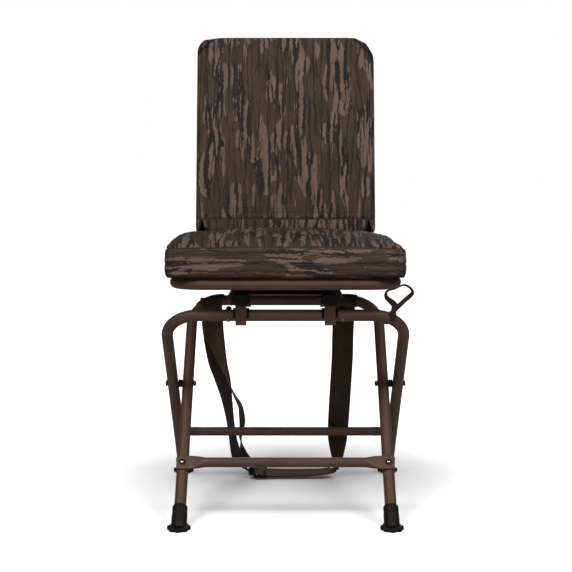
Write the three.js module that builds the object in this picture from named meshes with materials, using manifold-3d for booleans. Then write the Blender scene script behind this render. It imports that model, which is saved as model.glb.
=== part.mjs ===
// Swivelling folding chair for a hunting blind.
//
// Two inverted-U tube frames cross as an X and turn on two pivot bolts. A swivel
// base is clamped round the rear top bar and drops over the front top bar with two
// lined hooks. A ball-bearing turntable carries the seat ring, its cushion and a
// fold-down backrest.
//
// Millimetres, +Z up, +Y to the rear, +X to the right as seen from the front.
// The origin is on the floor, on the swivel axis. "left" is the -X side.

import * as THREE from 'three';
import { mergeVertices } from 'three/addons/utils/BufferGeometryUtils.js';
import Module from 'manifold-3d';

const wasm = await Module();
wasm.setup();

const { clamp, degToRad, lerp, radToDeg, smoothstep } = THREE.MathUtils;

// -------------------------------------------------------- shared dimensions

const GAP = 0.3;                 // clearance between neighbouring pieces

// leg frames
const TUBE_R = 11;               // 22 mm tube, also used for the seat ring
const TUBE_WALL = 1.2;           // wall of every tube
const BAR_Z = 386.4;             // top bars, centre height
const BAR_Y = 146;               // top bars, centre distance from the swivel axis
const FOOT_Y = 218;              // leg axis at the foot
const FOOT_REF_Z = 6;            // height at which the leg axis reaches FOOT_Y
const OUTER_X = 224.7;           // outer frame leg axis
const INNER_X = 194.8;           // inner frame leg axis
const BEND_R = 62;               // centreline bend radius of both frames
const LEG_END_Z = 14;            // tube end, inside the foot

// pivots
const PIVOT_SHANK_R = 3.5;
const PIVOT_HOLE_R = PIVOT_SHANK_R + GAP;

// swivel base plate and turntable
const BASE_Z0 = 421.5;
const BASE_T = 3;
const BASE_Z1 = BASE_Z0 + BASE_T;
const RACE_TOP = 8.4;            // top of the upper race, above the plate

// seat
const RING_Z = 448.3;            // ring tube, centre height
const CUSHION_Z0 = 463.4;

// backrest
const BACK_PIVOT_Y = 204;
const BACK_PIVOT_Z = 545;

// ------------------------------------------------------------------ helpers

const vec = (x, y, z) => new THREE.Vector3(x, y, z);
const X_AXIS = vec(1, 0, 0);
const Y_AXIS = vec(0, 1, 0);
const Z_AXIS = vec(0, 0, 1);

const moved = (point, dir, distance) => point.clone().addScaledVector(dir, distance);

function signedVolume(positions, index) {
  const corner = (i) => vec().fromArray(positions, index[i] * 3);
  let sum = 0;
  for (let i = 0; i < index.length; i += 3) {
    sum += corner(i).dot(corner(i + 1).cross(corner(i + 2)));
  }
  return sum / 6;
}

// closed surface geometry to a manifold solid; the geometry is used up
function solid(geometry) {
  geometry.deleteAttribute('normal');
  geometry.deleteAttribute('uv');
  const merged = mergeVertices(geometry, 1e-4);
  const positions = merged.getAttribute('position').array;
  const source = merged.index.array;
  const index = [];
  for (let i = 0; i < source.length; i += 3) {
    const [a, b, c] = source.slice(i, i + 3);
    // merging collapses some triangles, such as those at a lathe's axis
    if (a !== b && b !== c && a !== c) index.push(a, b, c);
  }
  if (signedVolume(positions, index) < 0) index.reverse();
  return new wasm.Manifold(new wasm.Mesh({
    numProp: 3,
    vertProperties: positions,
    triVerts: Uint32Array.from(index),
  }));
}

// manifold solid to a flat-shaded geometry
function geometryOf(body) {
  const mesh = body.getMesh();
  const indexed = new THREE.BufferGeometry();
  indexed.setAttribute('position', new THREE.BufferAttribute(mesh.vertProperties, 3));
  indexed.setIndex(new THREE.BufferAttribute(mesh.triVerts, 1));
  const flat = indexed.toNonIndexed();
  flat.computeVertexNormals();
  return flat;
}

// a path given by its own sample points and tangents, for ExtrudeGeometry
class SampledPath extends THREE.Curve {
  constructor(points, tangents) {
    super();
    this.points = points;
    this.tangents = tangents;
  }

  getTangentAt(u) {
    return this.tangents[Math.round(u * (this.tangents.length - 1))].clone();
  }

  getSpacedPoints() {
    return this.points.map((point) => point.clone());
  }
}

// polyline with round corners; straights carry no extra samples
function roundedPath(corners, radius, stepDeg = 11.25) {
  const last = corners.length - 1;
  const points = [corners[0].clone()];
  const tangents = [corners[1].clone().sub(corners[0]).normalize()];
  for (let i = 1; i < last; i++) {
    const corner = corners[i];
    const dirIn = corner.clone().sub(corners[i - 1]).normalize();
    const dirOut = corners[i + 1].clone().sub(corner).normalize();
    const turn = dirIn.angleTo(dirOut);
    const start = moved(corner, dirIn, -radius * Math.tan(turn / 2));
    const toCentre = moved(dirOut, dirIn, -dirOut.dot(dirIn)).normalize();
    const centre = moved(start, toCentre, radius);
    const steps = Math.max(2, Math.round(radToDeg(turn) / stepDeg));
    for (let k = 0; k <= steps; k++) {
      const angle = (turn * k) / steps;
      const cos = Math.cos(angle);
      const sin = Math.sin(angle);
      points.push(moved(moved(centre, toCentre, -radius * cos), dirIn, radius * sin));
      tangents.push(dirIn.clone().multiplyScalar(cos).addScaledVector(toCentre, sin).normalize());
    }
  }
  points.push(corners[last].clone());
  tangents.push(corners[last].clone().sub(corners[last - 1]).normalize());
  return new SampledPath(points, tangents);
}

// n points round the full turn, the radius given as a function of the angle
const loopPoints = (radiusAt, n) => Array.from({ length: n }, (_, i) => {
  const angle = (i / n) * Math.PI * 2;
  const radius = radiusAt(angle);
  return new THREE.Vector2(radius * Math.cos(angle), radius * Math.sin(angle));
});

// round bar or tube along a path; no bore when innerR is 0
function sweep(path, outerR, innerR, outerSides, innerSides) {
  const shape = new THREE.Shape(loopPoints(() => outerR, outerSides));
  if (innerR > 0) {
    shape.holes.push(new THREE.Path(loopPoints(() => innerR, innerSides).reverse()));
  }
  return solid(new THREE.ExtrudeGeometry(shape, {
    steps: path.points.length - 1,
    bevelEnabled: false,
    extrudePath: path,
  }));
}

function cylinder(radius, from, to, sides) {
  const axis = to.clone().sub(from);
  const geometry = new THREE.CylinderGeometry(radius, radius, axis.length(), sides);
  geometry.applyQuaternion(
    new THREE.Quaternion().setFromUnitVectors(Y_AXIS, axis.clone().normalize()));
  geometry.translate((from.x + to.x) / 2, (from.y + to.y) / 2, (from.z + to.z) / 2);
  return solid(geometry);
}

// cylinder parallel to X
const cylinderX = (radius, x0, x1, y, z, sides) => (
  cylinder(radius, vec(x0, y, z), vec(x1, y, z), sides));

// cylinder along dir, its ends at distances d0 and d1 from a point
const cylinderAlong = (radius, point, dir, d0, d1, sides) => (
  cylinder(radius, moved(point, dir, d0), moved(point, dir, d1), sides));

// turned piece: profile of [radius, height] about an axis through origin along dir
function turned(profile, origin, dir, sides) {
  const points = profile.map(([radius, height]) => new THREE.Vector2(radius, height));
  const geometry = new THREE.LatheGeometry(points, sides);
  geometry.applyQuaternion(new THREE.Quaternion().setFromUnitVectors(Y_AXIS, dir));
  geometry.translate(origin.x, origin.y, origin.z);
  return solid(geometry);
}

// bolt whose head sits on the point seat and rises along dir
const bolt = (shankR, shankLength, head, seat, dir, sides) => (
  turned([[0, -shankLength], [shankR, -shankLength], [shankR, 0], ...head], seat, dir, sides));

function block(x0, x1, y0, y1, z0, z1) {
  const geometry = new THREE.BoxGeometry(x1 - x0, y1 - y0, z1 - z0);
  geometry.translate((x0 + x1) / 2, (y0 + y1) / 2, (z0 + z1) / 2);
  return solid(geometry);
}

const shapeOf = (outline) => new THREE.Shape(outline.map(([a, b]) => new THREE.Vector2(a, b)));

function prism(outline, depth, basis, offset) {
  const geometry = new THREE.ExtrudeGeometry(shapeOf(outline), {
    depth,
    steps: 1,
    bevelEnabled: false,
  });
  geometry.applyMatrix4(new THREE.Matrix4().makeBasis(...basis));
  geometry.translate(offset.x, offset.y, offset.z);
  return solid(geometry);
}
// (y, z) outline, extruded from x0 to x1
const prismX = (outline, x0, x1) => (
  prism(outline, x1 - x0, [Y_AXIS, Z_AXIS, X_AXIS], vec(x0, 0, 0)));
// (x, z) outline, extruded from y0 to y1
const prismY = (outline, y0, y1) => (
  prism(outline, y1 - y0, [X_AXIS, Z_AXIS, vec(0, -1, 0)], vec(0, y1, 0)));
// (x, y) outline, extruded from z0 to z1
const prismZ = (outline, z0, z1) => (
  prism(outline, z1 - z0, [X_AXIS, Y_AXIS, Z_AXIS], vec(0, 0, z0)));

// n + 1 outline points on an arc about (a, b)
const arc = (a, b, radius, from, to, n) => Array.from({ length: n + 1 }, (_, i) => {
  const angle = from + ((to - from) * i) / n;
  return [a + radius * Math.cos(angle), b + radius * Math.sin(angle)];
});

const QUARTER = Math.PI / 2;

const roundedRect = (x0, x1, y0, y1, radius, steps) => [
  [x1 - radius, y1 - radius],
  [x0 + radius, y1 - radius],
  [x0 + radius, y0 + radius],
  [x1 - radius, y0 + radius],
].flatMap(([x, y], i) => arc(x, y, radius, i * QUARTER, (i + 1) * QUARTER, steps));

// outline of an open strip of a given thickness along a line of (a, b) points
function strip(line, thickness) {
  const left = [];
  const right = [];
  const last = line.length - 1;
  const heading = (i) => (
    new THREE.Vector2(line[i + 1][0] - line[i][0], line[i + 1][1] - line[i][1]).normalize());
  line.forEach(([a, b], i) => {
    const before = heading(Math.max(0, i - 1));
    const after = heading(Math.min(last - 1, i));
    const mitre = before.clone().add(after).normalize();
    const reach = (thickness / 2) / Math.max(0.5, mitre.dot(before));
    left.push([a - mitre.y * reach, b + mitre.x * reach]);
    right.push([a + mitre.y * reach, b - mitre.x * reach]);
  });
  return left.concat(right.reverse());
}

// ---------------------------------------------------------------- materials

const BROWN = 0x5a4a41;
const BLACK = 0x17171a;
const CAMO = 0x4a4034;
const WEBBING = 0x4b3f34;

const FINISH = {
  paint: { color: BROWN, roughness: 0.45, metalness: 0.35 },
  hook: { color: BROWN, roughness: 0.4, metalness: 0.5 },
  rivet: { color: BROWN, roughness: 0.35, metalness: 0.7 },
  stretcherBolt: { color: BLACK, roughness: 0.35, metalness: 0.7 },
  pivotBolt: { color: BLACK, roughness: 0.4, metalness: 0.7 },
  blackSteel: { color: BLACK, roughness: 0.4, metalness: 0.6 },
  ballCage: { color: BLACK, roughness: 0.3, metalness: 0.8 },
  rubber: { color: BLACK, roughness: 0.8, metalness: 0 },
  plastic: { color: BLACK, roughness: 0.6, metalness: 0 },
  clip: { color: BLACK, roughness: 0.55, metalness: 0 },
  slider: { color: BLACK, roughness: 0.5, metalness: 0 },
  seatPan: { color: BLACK, roughness: 0.9, metalness: 0 },
  camo: { color: CAMO, roughness: 0.95, metalness: 0 },
  webbing: { color: WEBBING, roughness: 0.95, metalness: 0 },
};

// --------------------------------------------------------------- leg frames

const LEG_RUN = BAR_Y + FOOT_Y;
const LEG_DROP = BAR_Z - FOOT_REF_Z;
const LEG_LENGTH = Math.hypot(LEG_RUN, LEG_DROP);
const LEG_Y = LEG_RUN / LEG_LENGTH;       // leg direction of the outer frame,
const LEG_Z = -LEG_DROP / LEG_LENGTH;     // from its top bar towards its feet
const PIVOT_Z = BAR_Z + LEG_Z * (BAR_Y / LEG_Y);

// down: from the top bar towards the feet; face: normal of the frame, on its upper side
const legFrame = (side, halfX) => ({
  side,
  halfX,
  down: vec(0, side * LEG_Y, LEG_Z),
  face: vec(0, side * -LEG_Z, LEG_Y),
});
const OUTER = legFrame(1, OUTER_X);       // front bar, rear feet
const INNER = legFrame(-1, INNER_X);      // rear bar, front feet

// point of the frame plane at a distance down from the top bar
const legPoint = ({ side }, x, distance) => (
  vec(x, side * (-BAR_Y + LEG_Y * distance), BAR_Z + LEG_Z * distance));
// distance down from the top bar at which the leg axis has a height z
const legAt = (z) => (BAR_Z - z) / -LEG_Z;

// centreline point and tangent at x, on a frame's top bar or its end bends
function barAt(frame, x) {
  const intoBend = Math.max(0, Math.abs(x) - (frame.halfX - BEND_R));
  const angle = Math.asin(intoBend / BEND_R);
  return {
    point: legPoint(frame, x, BEND_R - BEND_R * Math.cos(angle)),
    tangent: vec(Math.cos(angle), 0, 0)
      .addScaledVector(frame.down, Math.sign(x) * Math.sin(angle)).normalize(),
  };
}

const STRETCHER_BOLT_R = 3;
const STRETCHER_HOLE_R = STRETCHER_BOLT_R + GAP;
const STRETCHER_AT = legAt(97.7);         // leg axis point where a stretcher is bolted on

function legTube(frame) {
  const { halfX } = frame;
  const end = legAt(LEG_END_Z);
  const path = roundedPath([
    legPoint(frame, -halfX, end),
    legPoint(frame, -halfX, 0),
    legPoint(frame, halfX, 0),
    legPoint(frame, halfX, end),
  ], BEND_R);
  let body = sweep(path, TUBE_R, TUBE_R - TUBE_WALL, 16, 8);
  const reach = TUBE_R + 5;
  for (const sx of [-1, 1]) {
    const boltPoint = legPoint(frame, sx * halfX, STRETCHER_AT);
    body = body
      .subtract(cylinderX(
        PIVOT_HOLE_R, sx * (halfX - reach), sx * (halfX + reach), 0, PIVOT_Z, 12))
      .subtract(cylinderAlong(STRETCHER_HOLE_R, boltPoint, frame.face, 0, 18, 10));
  }
  return body;
}

// lobed disc on the floor with a slanting sleeve, bored for the leg
const SLEEVE_R = 14;
const SLEEVE_TOP_Z = 36;                  // height of the sleeve mouth's centre
const DISC_R = 20.3;
const DISC_T = 8.5;
const DISC_LOBE = 1.3;                    // lobe height above and below DISC_R
const DISC_LOBES = 8;
const DISC_BEVEL = 1;

function foot(frame, sx) {
  const x = sx * frame.halfX;
  const mouth = legAt(SLEEVE_TOP_Z);
  const length = legAt(2) - mouth;
  const belowDisc = block(x - 60, x + 60, -400, 400, -60, 5);
  const sleeve = turned([
    [0, 0], [SLEEVE_R - 1.6, 0], [SLEEVE_R, 2.2], [SLEEVE_R, length], [0, length],
  ], legPoint(frame, x, mouth), frame.down, 16).subtract(belowDisc);

  const lobedR = (angle) => DISC_R + DISC_LOBE * Math.cos(DISC_LOBES * angle);
  const disc = new THREE.ExtrudeGeometry(
    new THREE.Shape(loopPoints(lobedR, DISC_LOBES * 4)), {
      depth: DISC_T - 2 * DISC_BEVEL,
      steps: 1,
      bevelEnabled: true,
      bevelThickness: DISC_BEVEL,
      bevelSize: DISC_BEVEL,
      bevelOffset: -DISC_BEVEL,
      bevelSegments: 1,
    });
  disc.translate(x, frame.side * FOOT_Y, DISC_BEVEL);

  const bore = cylinder(TUBE_R + GAP,
    legPoint(frame, x, mouth - 5), legPoint(frame, x, legAt(LEG_END_Z) + 0.6), 16);
  return solid(disc).add(sleeve).subtract(bore);
}

// round tube whose ends are flattened into bolt plates
const STRETCHER_R = 9.3;
const PLATE_H = 28;                       // flattened end, across
const PLATE_T = 3;                        // flattened end, thickness
const PLATE_OVER = 11;                    // plate length past the bolt
const PLATE_INNER = 12;                   // plate length inboard of the bolt
const ROUND_INSET = 44;                   // from the bolt to the round part

function stretcher(frame) {
  const { halfX, face, down } = frame;
  const flatEnd = halfX - PLATE_INNER;
  const roundEnd = halfX - ROUND_INSET;
  const rightStations = [roundEnd, flatEnd - 21, flatEnd - 10, flatEnd, halfX + PLATE_OVER];
  const stations = [...rightStations.map((x) => -x).reverse(), ...rightStations];
  const spans = stations.length - 1;
  const middle = moved(legPoint(frame, 0, STRETCHER_AT), face, TUBE_R + GAP + PLATE_T / 2);

  // each ring of a unit cylinder becomes the cross-section at one station
  const geometry = new THREE.CylinderGeometry(1, 1, 1, 16, spans);
  const positions = geometry.getAttribute('position');
  for (let i = 0; i < positions.count; i++) {
    const x = stations[Math.round((0.5 - positions.getY(i)) * spans)];
    const flatness = smoothstep(Math.abs(x), roundEnd, flatEnd);
    const halfHeight = lerp(STRETCHER_R, PLATE_H / 2, flatness);
    const halfThickness = lerp(STRETCHER_R, PLATE_T / 2, flatness);
    let across = positions.getX(i);
    let outward = positions.getZ(i);
    // from a circle to a square outline; the cap centres stay where they are
    if (Math.hypot(across, outward) > 0.5) {
      const toSquare = 1 / Math.max(Math.abs(across), Math.abs(outward));
      const scale = lerp(1, toSquare, flatness);
      across = clamp(across * scale, -1, 1);
      outward = clamp(outward * scale, -1, 1);
    }
    const point = vec(x, middle.y, middle.z)
      .addScaledVector(face, halfThickness * outward)
      .addScaledVector(down, -halfHeight * across);
    positions.setXYZ(i, point.x, point.y, point.z);
  }

  const bore = cylinderX(
    STRETCHER_R - TUBE_WALL, -roundEnd, roundEnd, middle.y, middle.z, 10);
  const undersideHole = cylinderAlong(2, middle, Z_AXIS, 0, -14, 8);
  let body = solid(geometry).subtract(bore.add(undersideHole));
  for (const sx of [-1, 1]) {
    const boltPoint = vec(sx * halfX, middle.y, middle.z);
    body = body.subtract(cylinderAlong(STRETCHER_HOLE_R, boltPoint, face, -6, 6, 10));
  }
  return body;
}

// domed head profiles: [radius, height above the seat]
const STRETCHER_BOLT_HEAD = [[5.6, 0], [5.6, 1.2], [4.6, 2.6], [2.4, 3.3], [0, 3.4]];
const PIVOT_BOLT_HEAD = [[6.5, 0], [6.5, 1.2], [5.2, 2.8], [2.8, 3.6], [0, 3.8]];

function stretcherBolt(frame, sx) {
  const legAxis = legPoint(frame, sx * frame.halfX, STRETCHER_AT);
  const seat = moved(legAxis, frame.face, TUBE_R + GAP + PLATE_T + GAP);
  return bolt(STRETCHER_BOLT_R, 13, STRETCHER_BOLT_HEAD, seat, frame.face, 12);
}

// pivot: domed bolt from outside, spacer between the legs, nut inside
const NUT_OUTER_X = INNER_X - TUBE_R - GAP;
const NUT_T = 4;
const NUT_INNER_X = NUT_OUTER_X - NUT_T;
const PIVOT_SHANK_PROUD = 1.5;            // shank past the nut

function pivotBolt(sx) {
  const seatX = OUTER_X + TUBE_R + GAP;
  const length = seatX - (NUT_INNER_X - PIVOT_SHANK_PROUD);
  return bolt(PIVOT_SHANK_R, length, PIVOT_BOLT_HEAD,
    vec(sx * seatX, 0, PIVOT_Z), vec(sx, 0, 0), 14);
}

function pivotSpacer(sx) {
  const x0 = INNER_X + TUBE_R + GAP;
  const x1 = OUTER_X - TUBE_R - GAP;
  return cylinderX(8, sx * x0, sx * x1, 0, PIVOT_Z, 18)
    .subtract(cylinderX(PIVOT_HOLE_R, sx * (x0 - 5), sx * (x1 + 5), 0, PIVOT_Z, 14));
}

const pivotNut = (sx) => cylinderX(6.2, sx * NUT_INNER_X, sx * NUT_OUTER_X, 0, PIVOT_Z, 6)
  .subtract(cylinderX(
    PIVOT_HOLE_R, sx * (NUT_INNER_X - 5), sx * (NUT_OUTER_X + 5), 0, PIVOT_Z, 14));

// rubber bumper on the rear upper side of the front bar, rivet head opposite
const BUMPER_X = 106;
const BUMPER_R = 5.5;
const BUMPER_H = 8;

const bumperBar = (sx) => vec(sx * BUMPER_X, -BAR_Y, BAR_Z);

const foldBumper = (sx) => turned([
  [0, -0.2], [BUMPER_R, -0.2], [BUMPER_R, BUMPER_H - 2], [BUMPER_R - 1.6, BUMPER_H],
  [0, BUMPER_H],
], moved(bumperBar(sx), OUTER.face, TUBE_R + 0.5), OUTER.face, 16);

const bumperRivet = (sx) => turned([
  [0, -0.6], [4, -0.6], [4, 0.4], [2.6, 1.6], [0, 2],
], moved(bumperBar(sx), OUTER.face, -(TUBE_R + 1)), OUTER.face.clone().negate(), 12);

// webbing loop on the right end of the front bar: a wrap round the bend and a standing eye
const KEEPER_X = 198.5;
const KEEPER_HALF_W = 5;
const KEEPER_T = 1.7;
// eye centreline: [x, z] from its base above the bar
const KEEPER_EYE = [
  [0, 0], [3.5, 8], [10, 17], [19, 25], [27, 31.5], [30, 37], [26, 40.5], [17, 42.5],
  [5, 42], [-3, 38], [-7, 31], [-6.5, 24], [-3, 17], [-0.5, 11], [-1.2, 3],
];

function keeperLoop() {
  const { point, tangent } = barAt(OUTER, KEEPER_X);
  const wrap = cylinderAlong(
    TUBE_R + 2.4, point, tangent, -KEEPER_HALF_W, KEEPER_HALF_W, 20);
  const bore = cylinderAlong(TUBE_R + 0.9, point, tangent, -9, 9, 20);
  const baseX = point.x + 2;
  const baseZ = point.z + TUBE_R + 0.1;
  const line = KEEPER_EYE.map(([x, z]) => [baseX + x, baseZ + z]);
  const eye = prismY(strip(line, KEEPER_T), point.y - KEEPER_HALF_W, point.y + KEEPER_HALF_W);
  return wrap.add(eye).subtract(bore);
}

// --------------------------------------------------------------- swivel base

// flat plate with both side edges bent down
const BASE_HALF_W = 110.6;
const BASE_FLAT_HALF_W = 96;
const BASE_LIP = 8;
const BASE_FRONT_Y = -124;
const BASE_REAR_Y = 153;
const BASE_HOLE_R = 44;

function basePlate() {
  const flatZ = BASE_Z0 + BASE_T / 2;
  const outline = strip([
    [-BASE_HALF_W, flatZ - BASE_LIP],
    [-BASE_FLAT_HALF_W, flatZ],
    [BASE_FLAT_HALF_W, flatZ],
    [BASE_HALF_W, flatZ - BASE_LIP],
  ], BASE_T);
  return prismY(outline, BASE_FRONT_Y, BASE_REAR_Y)
    .subtract(cylinder(BASE_HOLE_R, vec(0, 0, 410), vec(0, 0, 440), 24));
}

// hooks over the front bar
const HOOK_X = 82.4;
const TAB_W = 20.3;
const TAB_T = 2.6;
const TAB_BOTTOM_Z = 369;
const LINER_T = 2.6;
const LINER_HALF_W = 15;
const LINER_FROM = degToRad(30);          // angles about the bar, from +Y towards +Z
const LINER_TO = degToRad(196);
const TAB_Y = -(BAR_Y + TUBE_R + GAP + LINER_T + GAP + TAB_T / 2);   // in front of the liner
const WEB_Z = BASE_Z0 - GAP - TAB_T / 2;
const WEB_BOTTOM_Z = WEB_Z - TAB_T / 2;
const WEB_TOP_Z = WEB_Z + TAB_T / 2;
const CHEEK_HALF_W = 18.4;
const CHEEK_T = 1.6;

// strap centreline, [y, z]: under the plate, forward over the bar, down in front of it,
// with a small curl at the end
const HOOK_LINE = [
  [-60, WEB_Z], [TAB_Y + 9, WEB_Z], [TAB_Y + 3.2, WEB_Z - 2.2], [TAB_Y, WEB_Z - 8],
  [TAB_Y, TAB_BOTTOM_Z + 8], [TAB_Y - 1.2, TAB_BOTTOM_Z + 4], [TAB_Y - 3, TAB_BOTTOM_Z + 0.8],
];
// side cheek outline, [y, z]
const CHEEK = [
  [-128, WEB_TOP_Z], [-160, WEB_TOP_Z], [-160.5, WEB_Z - 3], [-152, 405], [-146, 405],
  [-128, 417],
];

// the bent strap, widened all round by a clearance
const hookStrap = (x, clearance) => {
  const halfW = TAB_W / 2 + clearance;
  return prismX(strip(HOOK_LINE, TAB_T + 2 * clearance), x - halfW, x + halfW);
};

function hookBracket(sx) {
  const x = sx * HOOK_X;
  const x0 = x - CHEEK_HALF_W;
  const x1 = x + CHEEK_HALF_W;
  const web = block(x0, x1, -140, -125, WEB_BOTTOM_Z, WEB_TOP_Z)
    .add(block(x - 12.6, x + 12.6, -130, -60, WEB_BOTTOM_Z, WEB_TOP_Z));
  const cheeks = prismX(CHEEK, x0, x0 + CHEEK_T).add(prismX(CHEEK, x1 - CHEEK_T, x1));
  return hookStrap(x, 0).add(web).add(cheeks);
}

// black moulded block above the bar, gripping the strap
const CLIP_HALF_W = 16.4;
const CLIP_CHAMFER = 5.5;
const CLIP_Z0 = 406.2;
const CLIP_Z1 = 425.8;

function clipBlock(sx) {
  const x = sx * HOOK_X;
  const x0 = x - CLIP_HALF_W;
  const x1 = x + CLIP_HALF_W;
  const outline = [
    [x0 + CLIP_CHAMFER, CLIP_Z0], [x1 - CLIP_CHAMFER, CLIP_Z0],
    [x1, CLIP_Z0 + CLIP_CHAMFER], [x1, CLIP_Z1 - CLIP_CHAMFER],
    [x1 - CLIP_CHAMFER, CLIP_Z1], [x0 + CLIP_CHAMFER, CLIP_Z1],
    [x0, CLIP_Z1 - CLIP_CHAMFER], [x0, CLIP_Z0 + CLIP_CHAMFER],
  ];
  return prismY(outline, TAB_Y - 4.4, -140.4).subtract(hookStrap(x, 0.35));
}

// liner round the front and top of the bar, open below and behind so the bar drops out
function clipLiner(sx) {
  const x = sx * HOOK_X;
  const innerR = TUBE_R + GAP;
  const outline = [
    ...arc(-BAR_Y, BAR_Z, innerR, LINER_FROM, LINER_TO, 16),
    ...arc(-BAR_Y, BAR_Z, innerR + LINER_T, LINER_TO, LINER_FROM, 16),
  ];
  return prismX(outline, x - LINER_HALF_W, x + LINER_HALF_W);
}

// clamp ring round the rear bar, with a two-walled neck up to the plate
const CLAMP_HALF_W = 9;
const CLAMP_WALL = 3.4;
const NECK_INNER = 3.4;                   // neck walls, distances from the bar centre in y
const NECK_OUTER = 7;

function rearClamp(sx) {
  const x = sx * HOOK_X;
  const x0 = x - CLAMP_HALF_W;
  const x1 = x + CLAMP_HALF_W;
  const neckWall = (y0, y1) => block(x0, x1, y0, y1, BAR_Z + 6, BASE_Z0 - GAP);
  return cylinderX(TUBE_R + CLAMP_WALL, x0, x1, BAR_Y, BAR_Z, 24)
    .add(neckWall(BAR_Y - NECK_OUTER, BAR_Y - NECK_INNER))
    .add(neckWall(BAR_Y + NECK_INNER, BAR_Y + NECK_OUTER))
    .subtract(cylinderX(TUBE_R + 0.45, x - 12, x + 12, BAR_Y, BAR_Z, 24));
}

// turntable: two pressed races and a ball cage between them
const RACE_R = 88;
const RACE_HOLE_R = 56;
// name, outer radius, inner radius, bottom and top above the plate, sides, finish
const TURNTABLE = [
  ['lower_race', RACE_R, RACE_HOLE_R, GAP, 2.7, 36, 'blackSteel'],
  ['ball_cage', 78, 66, 3, 5.5, 30, 'ballCage'],
  ['upper_race', RACE_R, RACE_HOLE_R, 5.8, RACE_TOP, 36, 'blackSteel'],
];

function turntableRing(outerR, innerR, bottom, top, sides) {
  const z0 = BASE_Z1 + bottom;
  const z1 = BASE_Z1 + top;
  const profile = [[innerR, z0], [outerR, z0], [outerR, z1], [innerR, z1], [innerR, z0]];
  return turned(profile, vec(0, 0, 0), Z_AXIS, sides);
}

// ----------------------------------------------------------------------- seat

const CROSS_Y = 62;
const CROSS_HALF_W = 16;
const CROSS_HALF_L = 207;

function crossMember(sy) {
  const y0 = sy * CROSS_Y - CROSS_HALF_W;
  const y1 = sy * CROSS_Y + CROSS_HALF_W;
  const z0 = BASE_Z1 + RACE_TOP + GAP;
  const z1 = RING_Z - TUBE_R - GAP;
  return prismX([[y0, z0], [y1, z0], [y1, z1], [y0, z1]], -CROSS_HALF_L, CROSS_HALF_L);
}

// ring of two half loops that meet at x = 0, with a hole under the rear rail
const RING_HALF_X = 204.5;                // centreline
const RING_HALF_Y = 189;
const RING_BEND_R = 55;

function seatRing() {
  const halfRing = (sx) => sweep(roundedPath([
    vec(0, -RING_HALF_Y, RING_Z),
    vec(sx * RING_HALF_X, -RING_HALF_Y, RING_Z),
    vec(sx * RING_HALF_X, RING_HALF_Y, RING_Z),
    vec(0, RING_HALF_Y, RING_Z),
  ], RING_BEND_R, 12.9), TUBE_R, TUBE_R - TUBE_WALL, 16, 6);
  const hole = cylinderAlong(2.5, vec(40, RING_HALF_Y, RING_Z), Z_AXIS, -14, 0, 8);
  return halfRing(1).add(halfRing(-1)).subtract(hole);
}

const seatPan = () => (
  prismZ(roundedRect(-204, 204, -194, 180, 36, 6), RING_Z + TUBE_R + GAP, CUSHION_Z0 - GAP));

// cushion: a subdivided box, rounded in plan and crowned on top
const CUSHION_HALF_X = 222;
const CUSHION_FRONT_Y = -208;
const CUSHION_REAR_Y = 189.5;
const CUSHION_FRONT_EDGE_Z = 513;
const CUSHION_REAR_EDGE_Z = 519;
const CUSHION_CROWN = 25;
const CUSHION_CORNER_PULL = 0.13;         // how far the plan corners are drawn in
// levels from bottom to top: [inset of the sides, share of the edge height]
const CUSHION_LEVELS = [[5, 0], [1, 0.28], [0, 0.62], [2.5, 0.9], [11, 1]];

function seatCushion() {
  const centreY = (CUSHION_FRONT_Y + CUSHION_REAR_Y) / 2;
  const halfY = (CUSHION_REAR_Y - CUSHION_FRONT_Y) / 2;
  const topLevel = CUSHION_LEVELS.length - 1;
  const geometry = new THREE.BoxGeometry(2, 2, 2, 9, 9, topLevel);
  const positions = geometry.getAttribute('position');
  for (let i = 0; i < positions.count; i++) {
    const x = positions.getX(i);
    const y = positions.getY(i);
    const level = Math.round((positions.getZ(i) + 1) * 2);
    const [inset, rise] = CUSHION_LEVELS[level];
    const pull = Math.sqrt(1 - CUSHION_CORNER_PULL * x * x * y * y);
    const edgeZ = lerp(CUSHION_FRONT_EDGE_Z, CUSHION_REAR_EDGE_Z, (y + 1) / 2);
    let z = CUSHION_Z0 + (edgeZ - CUSHION_Z0) * rise;
    if (level === topLevel) z += CUSHION_CROWN * (1 - x ** 4) * (1 - Math.abs(y) ** 3.2);
    positions.setXYZ(i,
      x * pull * (CUSHION_HALF_X - inset), centreY + y * pull * (halfY - inset), z);
  }
  return solid(geometry);
}

// ------------------------------------------------------------------- backrest

const BACK_LEAN = degToRad(8);
const BACK_TUBE_X = 177;
const BACK_TUBE_R = 9.5;
const BACK_BEND_R = 42;
const BACK_BELOW = 19;                    // pad below the pivot
const BACK_ABOVE = 403;                   // pad above the pivot
const BACK_HALF_W = 193.5;
const BACK_TOP_HALF_W = 191;
const BACK_FRONT_T = 15;                  // pad in front of the tube axis
const BACK_REAR_T = 17;                   // pad behind it
const BACK_CORNER_R = 22;
const PAD_BEVEL = 5;
const BACK_TUBE_TOP = BACK_ABOVE - 5.5 - BACK_TUBE_R;

const BACK_UP = vec(0, Math.sin(BACK_LEAN), Math.cos(BACK_LEAN));
const BACK_OUT = vec(0, Math.cos(BACK_LEAN), -Math.sin(BACK_LEAN));

// point of the leaned backrest: out is towards the rear, up is along the back
const backPoint = (x, out, up) => vec(x, BACK_PIVOT_Y, BACK_PIVOT_Z)
  .addScaledVector(BACK_OUT, out).addScaledVector(BACK_UP, up);

const backPath = (bottom) => roundedPath([
  backPoint(-BACK_TUBE_X, 0, bottom),
  backPoint(-BACK_TUBE_X, 0, BACK_TUBE_TOP),
  backPoint(BACK_TUBE_X, 0, BACK_TUBE_TOP),
  backPoint(BACK_TUBE_X, 0, bottom),
], BACK_BEND_R, 15);

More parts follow.
